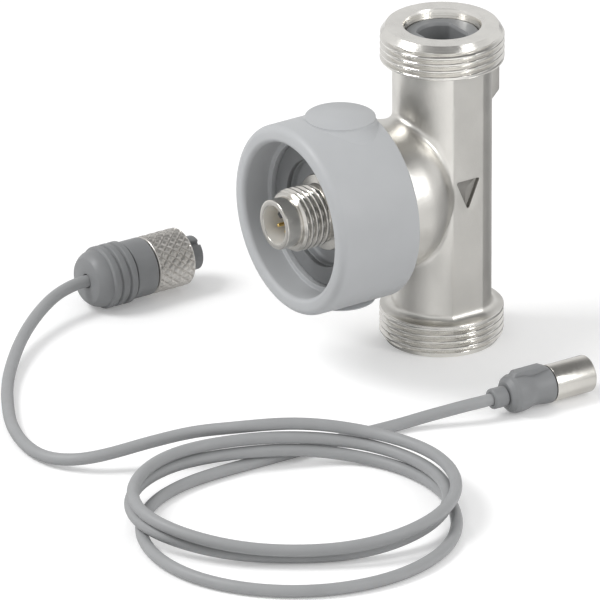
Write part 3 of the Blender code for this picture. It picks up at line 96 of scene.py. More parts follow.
def feed(tree, socket, value):
    """Give a socket a value, or link another node's output to it."""
    if isinstance(value, bpy.types.NodeSocket):
        tree.links.new(value, socket)
    else:
        socket.default_value = value


def node(tree, kind, **inputs):
    made = tree.nodes.new(kind)
    for key, value in inputs.items():
        feed(tree, made.inputs[key.replace("_", " ")], value)
    return made


def noise(tree, place, scale, detail):
    return node(tree, "ShaderNodeTexNoise", Vector=place, Scale=scale, Detail=detail).outputs["Fac"]


def mapped(tree, source, low, high):
    """The middle of a noise, spread from low to high."""
    made = node(tree, "ShaderNodeMapRange", Value=source, From_Min=0.3, From_Max=0.7, To_Min=low, To_Max=high)
    return made.outputs["Result"]


def mixed(tree, factor, one, two):
    """A colour between two."""
    made = tree.nodes.new("ShaderNodeMix")
    made.data_type = "RGBA"
    feed(tree, made.inputs["Factor"], factor)
    made.inputs["A"].default_value = (*one, 1)
    made.inputs["B"].default_value = (*two, 1)
    return made.outputs["Result"]


def from_pipe(tree, place):
    """Place as seen from the pipe's axis."""
    return node(tree, "ShaderNodeMapping", Vector=place, Location=(0, -PIPE_Y * MM, 0)).outputs["Vector"]


def make_material(name, colour, rough, metal, shade, shade_scale, rough_shade, grain=(), turned=None):
    """Principled surface whose colour and roughness vary by shade and rough_shade, with bump.
    grain holds (scale, distance, strength) for each size of bump. turned holds (wave type, distance) of the
    tool marks round the pipe's axis: BANDS on its outside, RINGS on its end faces."""
    material = bpy.data.materials.new(name)
    material.use_nodes = True
    tree = material.node_tree
    shader = tree.nodes["Principled BSDF"].inputs
    shader["Metallic"].default_value = metal
    place = node(tree, "ShaderNodeTexCoord").outputs["Object"]
    cloud = mapped(tree, noise(tree, place, shade_scale, 5.0), 0, 1)
    dark, pale = [c * (1 - shade) for c in colour], [min(1, c * (1 + shade)) for c in colour]
    feed(tree, shader["Base Color"], mixed(tree, cloud, dark, pale))
    smear = noise(tree, place, shade_scale * SMEAR_SCALE, 3.0)
    feed(tree, shader["Roughness"], mapped(tree, smear, rough - rough_shade, rough + rough_shade))
    bumps = [(noise(tree, place, scale, 3.0), distance, strength) for scale, distance, strength in grain]
    if turned:
        wave_type, distance = turned
        wave = node(tree, "ShaderNodeTexWave", Vector=from_pipe(tree, place), Scale=LATHE_SCALE, Distortion=0.6,
                    Detail=2.0)
        wave.wave_type = wave_type
        wave.bands_direction = wave.rings_direction = "Z"
        bumps.append((wave.outputs["Fac"], distance, 0.5))
    normal = None
    for height, distance, strength in bumps:
        bump = node(tree, "ShaderNodeBump", Height=height, Distance=distance, Strength=strength)
        if normal:
            feed(tree, bump.inputs["Normal"], normal)
        normal = bump.outputs["Normal"]
    if normal:
        feed(tree, shader["Normal"], normal)
    return material


CAST = make_material("cast_metal", (0.70, 0.685, 0.65), 0.36, 1.0, 0.07, 60, 0.06,
                     grain=[(700, 0.00006, 0.5), (3500, 0.00002, 0.6)])
# Painted shade: the arrow's recess is coloured darker than the cast metal round it
SHADED_RECESS = make_material("cast_recess_painted_shade", (0.36, 0.35, 0.33), 0.5, 1.0, 0.07, 60, 0.06,
                       grain=[(3500, 0.00003, 0.7)])
MACHINED = make_material("machined_metal", (0.76, 0.745, 0.71), 0.22, 1.0, 0.04, 120, 0.05,
                         turned=("BANDS", 0.000005))
FACED = make_material("faced_metal", (0.78, 0.765, 0.73), 0.24, 1.0, 0.04, 120, 0.05,
                      turned=("RINGS", 0.000012))
HOUSING = make_material("housing_moulding", (0.46, 0.47, 0.48), 0.46, 0.0, 0.035, 50, 0.05,
                        grain=[(5200, 0.000030, 0.55)])
INNER = make_material("inner_moulding", (0.20, 0.205, 0.21), 0.50, 0.0, 0.05, 90, 0.06,
                      grain=[(6000, 0.000020, 0.5)])
CARRIER = make_material("carrier_moulding", (0.34, 0.35, 0.36), 0.46, 0.0, 0.04, 80, 0.05,
                        grain=[(5200, 0.000025, 0.5)])
INSERT = make_material("insert_moulding", (0.22, 0.225, 0.23), 0.42, 0.0, 0.08, 120, 0.06,
                       grain=[(6000, 0.000020, 0.5)])
NICKEL = make_material("nickel_plate", (0.70, 0.68, 0.64), 0.22, 1.0, 0.03, 200, 0.05,
                       grain=[(2500, 0.000006, 0.5)])
# Matt plating in the receptacle's bore, made paler and partly non-metal as painted light that lightens the deep bore
BORE = make_material("nickel_bore_matt_painted_light", (0.74, 0.73, 0.70), 0.5, 0.35, 0.03, 200, 0.05,
                     grain=[(2500, 0.000006, 0.5)])
KNURLED = make_material("nickel_knurled", (0.62, 0.60, 0.57), 0.36, 1.0, 0.03, 200, 0.05)
STEEL = make_material("steel_bright", (0.56, 0.57, 0.58), 0.32, 1.0, 0.04, 200, 0.06,
                      grain=[(2500, 0.000006, 0.5)])
GOLD = make_material("gold_plate_contact", (0.83, 0.62, 0.25), 0.25, 1.0, 0.04, 300, 0.05)
# Also painted shade: the thin black discs in the socket contacts' holes
RUBBER_AND_SHADE = make_material("rubber_seal_and_painted_shade", (0.035, 0.035, 0.036), 0.7, 0.0, 0.1, 200, 0.05,
                       grain=[(4000, 0.00002, 0.5)])
BOARD = make_material("board_laminate", (0.03, 0.17, 0.08), 0.45, 0.0, 0.08, 200, 0.05,
                      grain=[(3000, 0.00001, 0.5)])
MOULD = make_material("plug_moulding", (0.235, 0.24, 0.245), 0.46, 0.0, 0.05, 120, 0.06,
                      grain=[(5500, 0.000030, 0.6)])
JACKET = make_material("cable_sheath", (0.33, 0.335, 0.34), 0.50, 0.0, 0.035, 120, 0.06,
                       grain=[(3800, 0.000022, 0.5)])

# Finish of each material slot of the record
SLOT_MATERIALS = {
    "gunmetal": CAST, "housing_plastic": CARRIER, "dark_plastic": INNER, "nickel": NICKEL, "steel": STEEL,
    "gold": GOLD, "seal_rubber": RUBBER_AND_SHADE, "board": BOARD, "plug_plastic": MOULD, "cable_jacket": JACKET,
}


# ---- mesh helpers
MERGE_DISTANCE, LEAST_EDGE = 0.0000008, 0.0000004  # in metres


def around(sides):
    return [math.tau * index / sides for index in range(sides)]


def ring(radius, height, angles):
    """Points round an axis at one height; radius is one number, or one for each angle."""
    radii = [radius] * len(angles) if np.isscalar(radius) else radius
    return [(r * math.cos(a), r * math.sin(a), height) for r, a in zip(radii, angles)]


class Shape:
    """Points and faces in millimetres in the row frame, with a material index for each face."""

    def __init__(self):
        self.points = []
        self.faces = []
        self.kinds = []

    def add(self, points, faces, kind=0, place=None):
        first = len(self.points)
        for point in points:
            point = Vector(point)
            self.points.append(place @ point if place is not None else point)
        for face in faces:
            self.faces.append([first + index for index in face])
            self.kinds.append(kind)
        return first

    def rows(self, rows, kind=0, place=None, closed=False, kinds=None):
        """Skin through rings of points with equal counts; closed joins the last ring to the first.
        kinds gives a material index for each band."""
        count = len(rows[0])
        first = self.add([point for row in rows for point in row], [], kind, place)
        for index in range(len(rows) if closed else len(rows) - 1):
            lower = first + index * count
            upper = first + (index + 1) % len(rows) * count
            for column in range(count):
                beside = (column + 1) % count
                self.faces.append([lower + column, lower + beside, upper + beside, upper + column])
                self.kinds.append(kinds[index] if kinds else kind)

    def turned(self, profile, sides, place, kind=0):
        """Solid of revolution from a closed profile of (radius, height)."""
        self.rows([ring(r, h, around(sides)) for r, h in profile], kind, place, True)

    def finish(self, name, materials, stands_for, body=BODY, sharp=38):
        """Make the piece, let it ride on its body and hide the CAD nodes that it stands for."""
        shape = bmesh.new()
        made = [shape.verts.new(point * MM) for point in self.points]
        for face, kind in zip(self.faces, self.kinds):
            corners = list(dict.fromkeys(face))
            if len(corners) > 2:
                try:
                    shape.faces.new([made[index] for index in corners]).material_index = kind
                except ValueError:
                    pass
        bmesh.ops.remove_doubles(shape, verts=shape.verts, dist=MERGE_DISTANCE)
        bmesh.ops.dissolve_degenerate(shape, dist=LEAST_EDGE, edges=shape.edges)
        loose = [point for point in shape.verts if not point.link_faces]
        bmesh.ops.delete(shape, geom=loose, context="VERTS")
        bmesh.ops.recalc_face_normals(shape, faces=shape.faces)
        mesh = bpy.data.meshes.new(name)
        shape.to_mesh(mesh)
        shape.free()
        mesh.shade_smooth()
        mesh.set_sharp_from_angle(angle=math.radians(sharp))
        for material in materials:
            mesh.materials.append(material)
        piece = bpy.data.objects.new(name, mesh)
        bpy.context.scene.collection.objects.link(piece)
        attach(piece, body)
        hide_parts(*stands_for)


def rounded(points, closed=True, steps=5):
    """Profile with rounded corners: a point is (radius, height) or (radius, height, rounding)."""
    made = []
    count = len(points)
    for index, point in enumerate(points):
        here = Vector(point[:2])
        if len(point) < 3 or (not closed and index in (0, count - 1)):
            made.append(tuple(here))
            continue
        before = (Vector(points[index - 1][:2]) - here).normalized()
        after = (Vector(points[(index + 1) % count][:2]) - here).normalized()
        half = before.angle(after) / 2
        reach = point[2] / math.tan(half)
        centre = here + (before + after).normalized() * (point[2] / math.sin(half))
        start, end = here + before * reach - centre, here + after * reach - centre
        turn = start.angle(end)
        for step in range(steps + 1):
            share = step / steps
            arm = (start * math.sin((1 - share) * turn) + end * math.sin(share * turn)) / math.sin(turn)
            made.append(tuple(centre + arm))
    return made


def round_and_take(shape, maker, rounding, steps, place, kind=0):
    """Round a mesh's edges and add it to the shape."""
    bmesh.ops.bevel(maker, geom=maker.edges[:], offset=rounding, segments=steps, profile=0.5, affect="EDGES")
    maker.verts.index_update()
    faces = [[corner.index for corner in face.verts] for face in maker.faces]
    shape.add([point.co for point in maker.verts], faces, kind, place)
    maker.free()


def prism(shape, outline, start, end, place, rounding, steps):
    """Add an outline of (x, y) extruded along z, its edges rounded."""
    maker = bmesh.new()
    face = maker.faces.new([maker.verts.new((x, y, start)) for x, y in outline])
    moved = bmesh.ops.extrude_face_region(maker, geom=[face])["geom"]
    bmesh.ops.translate(maker, verts=[item for item in moved if isinstance(item, bmesh.types.BMVert)],
                        vec=(0, 0, end - start))
    round_and_take(shape, maker, rounding, steps, place)


def pin_places(place, radius):
    """Frames of the pins on their circle."""
    angles = [PIN_ANGLE + angle for angle in around(PIN_COUNT)]
    return [place @ Matrix.Translation((radius * math.cos(a), radius * math.sin(a), 0)) for a in angles]


def make_pins(name, place, radius, root, tip, steps):
    for index, spot in enumerate(pin_places(place, radius)):
        pin = Shape()
        pin.turned(rounded([(0.0, root), (PIN_RADIUS, root), (PIN_RADIUS, tip, 0.42), (0.0, tip)], steps=steps),
                   32, spot)
        pin.finish(f"{name}_{index + 1}_turned", [GOLD], [f"{name}_{index + 1}"])


THREAD_CREST, THREAD_ROOT = 0.22, 1.12  # flat share of the crest; over 1 leaves a narrow flat root


def thread_cut(phase):
    """Depth share of a V thread that has its crest at phase 0 and its root at 0.5."""
    away = np.abs(phase % 1.0 - 0.5) * 2
    reach = 1 - THREAD_CREST
    return np.clip(THREAD_ROOT * (reach - away) / reach, 0, 1)


def smooth(share):
    """Soft step from 0 to 1."""
    share = np.clip(share, 0, 1)
    return share * share * (3 - 2 * share)


# ---- cable: one smooth curve through the route's points, from the plug through three turns to the connector.
# Y is from the pipe's axis. The points follow the drawing through this lens.
CABLE_RADIUS = 1.65
INSIDE_PLUG = [(-65.95, -68.0, 8.6)]
PLUG_LEAD = [
    (-65.95, -70.25, 8.6), (-65.87, -72.6, 8.58), (-65.5, -75.3, 8.42), (-64.43, -80.04, 7.8), (-61.65, -86.38, 6.6),
    (-56.24, -94.72, 4.9), (-50.12, -101.79, 3.7), (-43.7, -108.02, 2.8), (-36.9, -113.82, 2.2),
    (-29.61, -119.1, 1.9), (-21.85, -123.97, 1.75), (-13.9, -128.43, 1.75), (-5.37, -131.98, 1.75),
    (3.14, -134.05, 1.8), (12.33, -133.74, 2.2), (20.16, -129.52, 3.5), (25.14, -121.8, 5.3), (28.35, -113.3, 7.1),
    (29.96, -109.15, 7.9), (31.56, -105.1, 8.6), (33.65, -100.94, 9.3),
]
COIL = [
    (38.91, -94.25, 10.6), (47.18, -78.83, 11.1), (57.25, -63.06, 8.6), (76.31, -56.25, 8.35), (96.84, -61.42, 8.35),
    (110.96, -77.67, 7.7), (111.83, -98.8, 5.8), (103.04, -116.49, 4.8), (90.27, -131.97, 6.1), (69.86, -140.64, 8.4),
    (49.87, -131.06, 8.4), (40.62, -112.58, 8.4), (42.62, -94.47, 8.4), (48.45, -79.68, 7.8), (57.56, -63.74, 5.2),
    (76.13, -58.19, 5.0), (95.63, -63.09, 5.0), (108.8, -78.67, 4.3), (108.66, -98.55, 2.2), (100.81, -114.99, 1.75),
    (89.31, -130.09, 2.6), (69.78, -140.7, 5.1), (49.42, -131.6, 5.1), (40.93, -112.38, 5.1), (43.56, -94.51, 5.1),
    (49.06, -80.1, 4.5), (58.21, -65.14, 1.98), (76.04, -58.85, 1.75), (96.14, -62.24, 1.75), (115.15, -75.45, 1.75),
    (125.43, -99.59, 1.75), (118.65, -127.02, 1.75), (95.88, -143.85, 1.75), (69.63, -141.74, 1.75),
]
CONNECTOR_LEAD = [
    (50.92, -125.62, 1.75), (47.63, -118.69, 1.75), (45.52, -110.74, 1.75), (44.69, -101.69, 1.75),
    (44.66, -88.97, 1.75), (44.77, -75.74, 1.75), (45.02, -60.81, 1.75), (45.45, -49.91, 1.75), (46.23, -43.45, 2.1),
    (47.69, -37.68, 3.0), (49.75, -32.29, 4.1), (51.5, -27.4, 5.0), (52.38, -23.2, 5.35), (52.5, -20.55, 5.4),
]
INSIDE_CONNECTOR = [(52.5, -18.85, 5.4)]


def spline_slopes(points, knots):
    """Slopes of the smooth cubic through the points, straight at both ends."""
    count = len(points)
    steps = np.diff(knots)
    matrix = np.zeros((count, count))
    right = np.zeros((count, 3))
    matrix[0, :2] = (2, 1)
    right[0] = 3 * (points[1] - points[0]) / steps[0]
    matrix[-1, -2:] = (1, 2)
    right[-1] = 3 * (points[-1] - points[-2]) / steps[-1]
    for i in range(1, count - 1):
        matrix[i, i - 1:i + 2] = (steps[i], 2 * (steps[i - 1] + steps[i]), steps[i - 1])
        right[i] = 3 * (steps[i] / steps[i - 1] * (points[i] - points[i - 1])
                        + steps[i - 1] / steps[i] * (points[i + 1] - points[i]))
    return np.linalg.solve(matrix, right)


def spline_length(points, slopes, knots):
    """Length of the cubic through the points, from twenty chords a span."""
    t = np.linspace(0, 1, 21)[:, None]
    total = 0.0
    for i, step in enumerate(np.diff(knots)):
        span = ((2 * t ** 3 - 3 * t ** 2 + 1) * points[i] + (t ** 3 - 2 * t ** 2 + t) * step * slopes[i]
                + (3 * t ** 2 - 2 * t ** 3) * points[i + 1] + (t ** 3 - t ** 2) * step * slopes[i + 1])
        total += np.linalg.norm(np.diff(span, axis=0), axis=1).sum()
    return float(total)


def make_cable():
    points = np.array(INSIDE_PLUG + PLUG_LEAD + COIL + CONNECTOR_LEAD + INSIDE_CONNECTOR)
    points[:, 1] += PIPE_Y
    knots = np.concatenate([[0], np.cumsum(np.linalg.norm(np.diff(points, axis=0), axis=1))])
    slopes = spline_slopes(points, knots)
    steps = np.diff(knots)
    curve = bpy.data.curves.new("cable", "CURVE")
    curve.dimensions = "3D"
    curve.bevel_depth = CABLE_RADIUS * MM
    curve.bevel_resolution = 7
    curve.resolution_u = 10
    curve.use_fill_caps = True
    spline = curve.splines.new("BEZIER")
    spline.bezier_points.add(len(points) - 1)
    for i, knot in enumerate(spline.bezier_points):
        before = steps[i - 1] if i else steps[0]
        after = steps[i] if i < len(steps) else steps[-1]
        knot.handle_left_type = knot.handle_right_type = "FREE"
        knot.co = points[i] * MM
        knot.handle_left = (points[i] - slopes[i] * before / 3) * MM
        knot.handle_right = (points[i] + slopes[i] * after / 3) * MM
    curve.materials.append(JACKET)
    cable = bpy.data.objects.new("cable", curve)
    bpy.context.scene.collection.objects.link(cable)
    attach(cable, BODY)
    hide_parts("cable_lead_plug_side", "cable_coil", "cable_lead_connector_side")
    return cable, points, spline_length(points, slopes, knots)


CABLE, CABLE_POINTS, CABLE_LENGTH = make_cable()


# ---- flow body: one skin for the pipe, with a patch for the branch and one for the arrow
NECK, COLLAR, LOWER_BORE, UPPER_BORE, BORE_STEP = 13.3, 16.6, 8.8, 10.1, 4.0
FLAT, FLAT_HALF = 12.4, 4.8  # distance of the flats from the axis, and half their width
LENGTH, COLLAR_HEIGHT, NECK_START, NECK_END = 90.0, 9.4, 14.0, 77.0
PITCH, THREAD_DEPTH, THREAD_FADE = 1.88, 0.92, 0.9
CHAMFER, CHAMFER_HEIGHT, LIP = 1.5, 2.1, 0.15
LOWER_THREAD, UPPER_THREAD = (2.1, 0.5), (81.4, 0.0)  # (height, phase): a crest lies at height + phase * PITCH
BRANCH, SHOULDER, BRANCH_ROUNDING, BRANCH_FRONT = 20.2, 12.5, 3.0, 24.1
CONE_TIP = BRANCH - SHOULDER
LEAST_FILLET, FILLET_GROWTH, FILLET_REACH = 0.45, 3.1, 12.2
PATCH_ANGLE = math.atan2(4.0, FLAT)
PATCH_HALF, PATCH_FLAT_HALF = 26.0, 16.0
ARROW_HALF = 5.1
ARROW_WIDE, ARROW_TALL, ARROW_DEPTH = 7.2, 8.4, 1.3
RIB_LENGTH, RIB_REACH, RIB_HALF = 17.2, 17.3, 2.0
THREAD_STEP, NECK_STEP, COLUMN_STEP = 0.118, 1.1, math.radians(2.2)
ON_CAST, ON_TURNED, ON_FACED, ON_SHADED_RECESS = range(4)  # places in the body's list of materials


def spread(keys, step):
    """Values through all keys with at most step between them."""
    made = [keys[0]]
    for start, end in zip(keys, keys[1:]):
        parts = max(1, math.ceil((end - start) / step - 1e-9))
        made += [start + (end - start) * (i + 1) / parts for i in range(parts)]
    return made


def sdf(points):
    """Distance to the pipe and its branch, filleted together."""
    x, y, z = points[:, 0], points[:, 1], points[:, 2] - HEAD_Z
    pipe = np.maximum(np.hypot(x, y) - NECK, np.abs(x) - FLAT)
    reach = np.hypot(x, z)
    side = reach - BRANCH
    cone = (reach - CONE_TIP + y) / math.sqrt(2)
    r = BRANCH_ROUNDING
    branch = np.minimum(-r, np.maximum(side, cone)) + np.hypot(np.maximum(r + side, 0), np.maximum(r + cone, 0))
    # The fillet between them fades out towards the flats
    r = LEAST_FILLET + FILLET_GROWTH * np.sqrt(np.clip(1 - (x / FILLET_REACH) ** 2, 0, 1))
    return np.maximum(r, np.minimum(pipe, branch)) - np.hypot(np.maximum(r - pipe, 0), np.maximum(r - branch, 0))


def settle(points):
    """Move points onto the filleted skin, down the slope of its distance."""
    points = np.array(points, float)
    nudge_size = 0.01
    for _ in range(6):
        value = sdf(points)
        slope = np.zeros_like(points)
        for axis in range(3):
            nudge = np.zeros(3)
            nudge[axis] = nudge_size
            slope[:, axis] = (sdf(points + nudge) - sdf(points - nudge)) / (2 * nudge_size)
        size = np.maximum((slope ** 2).sum(1), 0.25)
        points -= slope * (value / size)[:, None]
    return points


def meeting(angle):
    """(reach, distance to the front) where the branch meets the pipe, without a fillet."""
    c = math.cos(angle)

    def inside(reach, front):
        x = reach * c
        return max(math.hypot(x, front) - NECK, abs(x) - FLAT) < 0

    low, high = 8.0, BRANCH
    if inside(high, SHOULDER):
        return BRANCH, math.sqrt(NECK ** 2 - (BRANCH * c) ** 2)
    for _ in range(40):
        middle = (low + high) / 2
        if inside(middle, middle - CONE_TIP):
            low = middle
        else:
            high = middle
    return low, low - CONE_TIP


def border(columns, lines):
    """Places of a grid's points round a rectangle."""
    made = [(lines[0], c) for c in columns[:-1]] + [(line, columns[-1]) for line in lines[:-1]]
    made += [(lines[-1], c) for c in columns[:0:-1]] + [(line, columns[0]) for line in lines[:0:-1]]
    return made


def along_path(path, count):
    """Evenly spaced points on a path."""
    lengths = [0.0]
    for one, two in zip(path, path[1:]):
        lengths.append(lengths[-1] + (two - one).length)
    made = []
    for share in np.linspace(0, 1, count):
        wanted = share * lengths[-1]
        part = 0
        while part < len(path) - 2 and lengths[part + 1] < wanted:
            part += 1
        made.append(path[part].lerp(path[part + 1], (wanted - lengths[part]) / (lengths[part + 1] - lengths[part])))
    return made


def arrow_outline(offset):
    """The arrow's rounded triangle, moved outward by offset, as points of (y, height)."""
    corners = [Vector((-ARROW_WIDE / 2, ARROW_TALL / 2)), Vector((ARROW_WIDE / 2, ARROW_TALL / 2)),
               Vector((0, -ARROW_TALL / 2))]
    rounding = max(0.12, 0.35 + offset)
    moved = []
    for i, corner in enumerate(corners):
        one = (corners[i - 1] - corner).normalized()
        two = (corners[(i + 1) % 3] - corner).normalized()
        half = one.angle(two) / 2
        moved.append(corner - (one + two).normalized() * (offset / math.sin(half)))
    arc, side = 8, 9
    made = rounded([(p.x, p.y, rounding) for p in moved], True, arc - 1)
    full = []
    for i, point in enumerate(made):
        full.append(point)
        if i % arc == arc - 1:
            after = made[(i + 1) % len(made)]
            full += [(point[0] + (after[0] - point[0]) * k / side, point[1] + (after[1] - point[1]) * k / side)
                     for k in range(1, side)]
    return full


def lies_within(point, outline):
    odd = False
    for i, one in enumerate(outline):
        two = outline[i - 1]
        if (one.y > point.y) != (two.y > point.y):
            if point.x < (two.x - one.x) * (point.y - one.y) / (two.y - one.y) + one.x:
                odd = not odd
    return odd


def add_branch(shape, rim):
    """Skin whose columns run from the rim of its hole over the pipe, then out along the branch into its mouth."""
    fan = np.linspace(-math.pi, math.pi, 721)
    wide = (math.pi / 2 - PATCH_ANGLE) * NECK

    def unrolled(x, front):
        return math.atan2(x, front) * NECK

    turns = []
    for angle in fan:
        reach, front = meeting(angle)
        across = unrolled(reach * math.cos(angle), front) / PATCH_FLAT_HALF
        turns.append(math.atan2(reach * math.sin(angle) / BRANCH, across))
    turns = np.unwrap(turns)
    columns = []
    for point in rim:
        u, v = unrolled(point[0], -point[1]), point[2] - HEAD_Z
        angle = float(np.interp(math.atan2(v / PATCH_HALF, u / wide), turns, fan))
        reach, front = meeting(angle)
        c, s = math.cos(angle), math.sin(angle)
        u_met = unrolled(reach * c, front)
        made = []
        for share in (step / 11 for step in range(1, 11)):
            a = (u + (u_met - u) * share) / NECK
            z = v + (reach * s - v) * share
            r = min(NECK, FLAT / max(abs(math.sin(a)), 1e-6))
            made.append((r * math.sin(a), -r * math.cos(a), HEAD_Z + z))
        path = [Vector((reach, front))]
        if reach < BRANCH - 0.01:
            path.append(Vector((BRANCH, SHOULDER)))
        path.append(Vector((BRANCH, BRANCH_FRONT - 4.0)))
        made += [(spot.x * c, -spot.y, HEAD_Z + spot.x * s) for spot in along_path(path, 20)]
        columns.append(made)
    grid = np.array(columns)
    settled = settle(grid.reshape(-1, 3)).reshape(grid.shape)
    rows = [rim] + [[tuple(point) for point in settled[:, step]] for step in range(grid.shape[1])]
    directions = [math.atan2(point[2] - HEAD_Z, point[0]) for point in rows[-1]]
    mouth = [(BRANCH, BRANCH_FRONT - 3.9), (BRANCH, BRANCH_FRONT, 0.5), (12.3, BRANCH_FRONT, 0.3), (12.3, 15.0),
             (4.6, 15.0), (4.6, 9.9)]
    for reach, front in rounded(mouth, False, 3):
        rows.append([(reach * math.cos(a), -front, HEAD_Z + reach * math.sin(a)) for a in directions])
    shape.rows(rows, ON_CAST, FOOT)


def add_arrow(shape, rim):
    """The flat inside the rim, and the arrow cut into it in rings of (offset, depth) down to its floor."""
    lips = [(0.16, 0.0), (0.10, 0.012), (0.05, 0.045), (0.015, 0.10), (0.0, 0.17), (0.0, ARROW_DEPTH - 0.35),
            (-0.03, ARROW_DEPTH - 0.2), (-0.11, ARROW_DEPTH - 0.07), (-0.25, ARROW_DEPTH)]
    rings = [[(FLAT - depth, y, HEAD_Z + h) for y, h in arrow_outline(offset)] for offset, depth in lips]
    hole = [Vector((p[1], p[2])) for p in rings[0]]
    plane = [Vector((p[1], p[2])) for p in rim] + hole
    n_out, n_in = len(rim), len(hole)
    borders = [(i, (i + 1) % n_out) for i in range(n_out)]
    borders += [(n_out + i, n_out + (i + 1) % n_in) for i in range(n_in)]
    flat_points, _, flat_faces, _, _, _ = delaunay_2d_cdt(plane, borders, [], 0, 0.00001)
    half = max(p[1] for p in rim)
    kept = []
    for face in flat_faces:
        centre = sum((flat_points[i] for i in face), Vector((0, 0))) / len(face)
        if abs(centre.x) < half and abs(centre.y - HEAD_Z) < ARROW_HALF and not lies_within(centre, hole):
            kept.append(face)
    shape.add([(FLAT, p.x, p.y) for p in flat_points], kept, ON_CAST, FOOT)
    # The recess's walls and floor take the darker material: painted shade
    shape.rows(rings, ON_SHADED_RECESS, FOOT)
    middle = (FLAT - ARROW_DEPTH, 0, HEAD_Z + ARROW_TALL / 6)
    shape.add(rings[-1] + [middle], [[i, (i + 1) % n_in, n_in] for i in range(n_in)], ON_SHADED_RECESS, FOOT)


def make_flow_body():
    shape = Shape()
    edge, near = math.atan2(FLAT_HALF, FLAT), 0.02
    keys = [-math.pi + PATCH_ANGLE, -math.pi + edge - near, -math.pi + edge + near, -math.pi / 2, -edge - near,
            -edge + near, -PATCH_ANGLE, PATCH_ANGLE, edge - near, edge + near, math.pi / 2, math.pi - edge - near,
            math.pi - edge + near, math.pi + PATCH_ANGLE]
    angles = spread(keys, COLUMN_STEP)[:-1]
    first_column, last_column = angles.index(-math.pi + PATCH_ANGLE), angles.index(-PATCH_ANGLE)
    arrow_column = angles.index(PATCH_ANGLE)
    angles = np.array(angles)
    cosines = np.maximum(np.abs(np.cos(angles)), 1e-6)
    rows, kinds = [], []  # rings from the lower bore over the outside to the upper bore, and each band's material

    def row(radius, height, kind, flat=False):
        radii = np.full(len(angles), radius) if np.isscalar(radius) else radius
        if flat:
            radii = np.minimum(radii, (FLAT + radii - NECK) / cosines)
        rows.append(ring(radii, height, angles))
        kinds.append(kind)

    def collar(start, end):
        """Threaded outside of a collar between two heights, its outer end chamfered."""
        base, phase = UPPER_THREAD if start else LOWER_THREAD
        for height in spread([start, end], THREAD_STEP):
            from_end = LENGTH - height if start else height
            envelope = min(COLLAR, COLLAR - CHAMFER + from_end * CHAMFER / CHAMFER_HEIGHT)
            fade = smooth((COLLAR_HEIGHT - from_end) / THREAD_FADE)
            cut = THREAD_DEPTH * thread_cut((height - base) / PITCH - phase - angles / math.tau) * fade
            row(np.minimum(envelope, COLLAR - cut), height, ON_TURNED)

    for radius, height in rounded([(LOWER_BORE, BORE_STEP), (LOWER_BORE, 0.7), (9.2, 0.0)], False):
        row(radius, height, ON_TURNED)
    row(12.0, 0.0, ON_FACED)
    row(COLLAR - CHAMFER - LIP, 0.0, ON_TURNED)
    collar(0, COLLAR_HEIGHT - LIP)
    row(COLLAR - LIP, COLLAR_HEIGHT, ON_CAST)
    flare = [(COLLAR - 1.0, COLLAR_HEIGHT), (NECK, COLLAR_HEIGHT, 2.2), (NECK, NECK_START)]
    for radius, height in rounded(flare, False, 8):
        row(radius, height, ON_CAST, True)
    levels = spread([NECK_START, HEAD_Z - PATCH_HALF, HEAD_Z - ARROW_HALF, HEAD_Z + ARROW_HALF, HEAD_Z + PATCH_HALF,
                     NECK_END], NECK_STEP)
    first_neck = len(rows) - 1
    for height in levels[1:]:
        row(NECK, height, ON_CAST, True)
    level_rows = {round(height, 4): first_neck + i for i, height in enumerate(levels)}
    top = LENGTH - COLLAR_HEIGHT
    for radius, height in rounded([(NECK, NECK_END), (NECK, top, 1.0), (COLLAR - 1.2, top)], False, 5)[1:]:
        row(radius, height, ON_CAST, True)
    row(COLLAR - LIP, top, ON_TURNED)
    collar(top + LIP, LENGTH)
    row(COLLAR - CHAMFER - LIP, LENGTH, ON_FACED)
    row(12.6, LENGTH, ON_FACED)
    bore = [(10.5, LENGTH), (UPPER_BORE, LENGTH - 0.7), (UPPER_BORE, BORE_STEP), (LOWER_BORE, BORE_STEP)]
    for radius, height in rounded(bore, False):
        row(radius, height, ON_TURNED)

    count = len(angles)
    first = shape.add([point for line in rows for point in line], [], 0, FOOT)
    low_patch, high_patch = level_rows[HEAD_Z - PATCH_HALF], level_rows[HEAD_Z + PATCH_HALF]
    low_arrow, high_arrow = level_rows[HEAD_Z - ARROW_HALF], level_rows[HEAD_Z + ARROW_HALF]
    for index in range(len(rows) - 1):
        for column in range(count):
            if low_patch <= index < high_patch and first_column <= column < last_column:
                continue
            if low_arrow <= index < high_arrow and last_column <= column < arrow_column:
                continue
            beside = (column + 1) % count
            corners = [index * count + column, index * count + beside,
                       (index + 1) * count + beside, (index + 1) * count + column]
            shape.faces.append([first + corner for corner in corners])
            shape.kinds.append(kinds[index])

    def hole_rim(columns, lines):
        return [rows[line][column] for line, column in border(columns, lines)]

    add_branch(shape, hole_rim(range(first_column, last_column + 1), range(low_patch, high_patch + 1)))
    add_arrow(shape, hole_rim(range(last_column, arrow_column + 1), range(low_arrow, high_arrow + 1)))
    top = LENGTH - COLLAR_HEIGHT + 0.3
    bottom = top - RIB_LENGTH
    rib = [(11.3, bottom - 2.0), (11.3, top), (RIB_REACH, top), (RIB_REACH, bottom + 4.0)]
    side = FOOT @ Matrix(((0, 0, 1, 0), (1, 0, 0, 0), (0, 1, 0, 0), (0, 0, 0, 1)))
    prism(shape, rib, -RIB_HALF, RIB_HALF, side, 0.45, 3)
    shape.finish("flow_body_casting", [CAST, MACHINED, FACED, SHADED_RECESS], ["flow_body"], sharp=40)


make_flow_body()


# ---- measuring insert: a tube round a channel with two flats, and the bar that sheds vortices
INSERT_RADIUS, INSERT_BOTTOM, INSERT_TOP = 9.8, 4.3, 87.5
CHANNEL, CHANNEL_FLAT = 6.6, 5.2
BAR_HEIGHT = 62


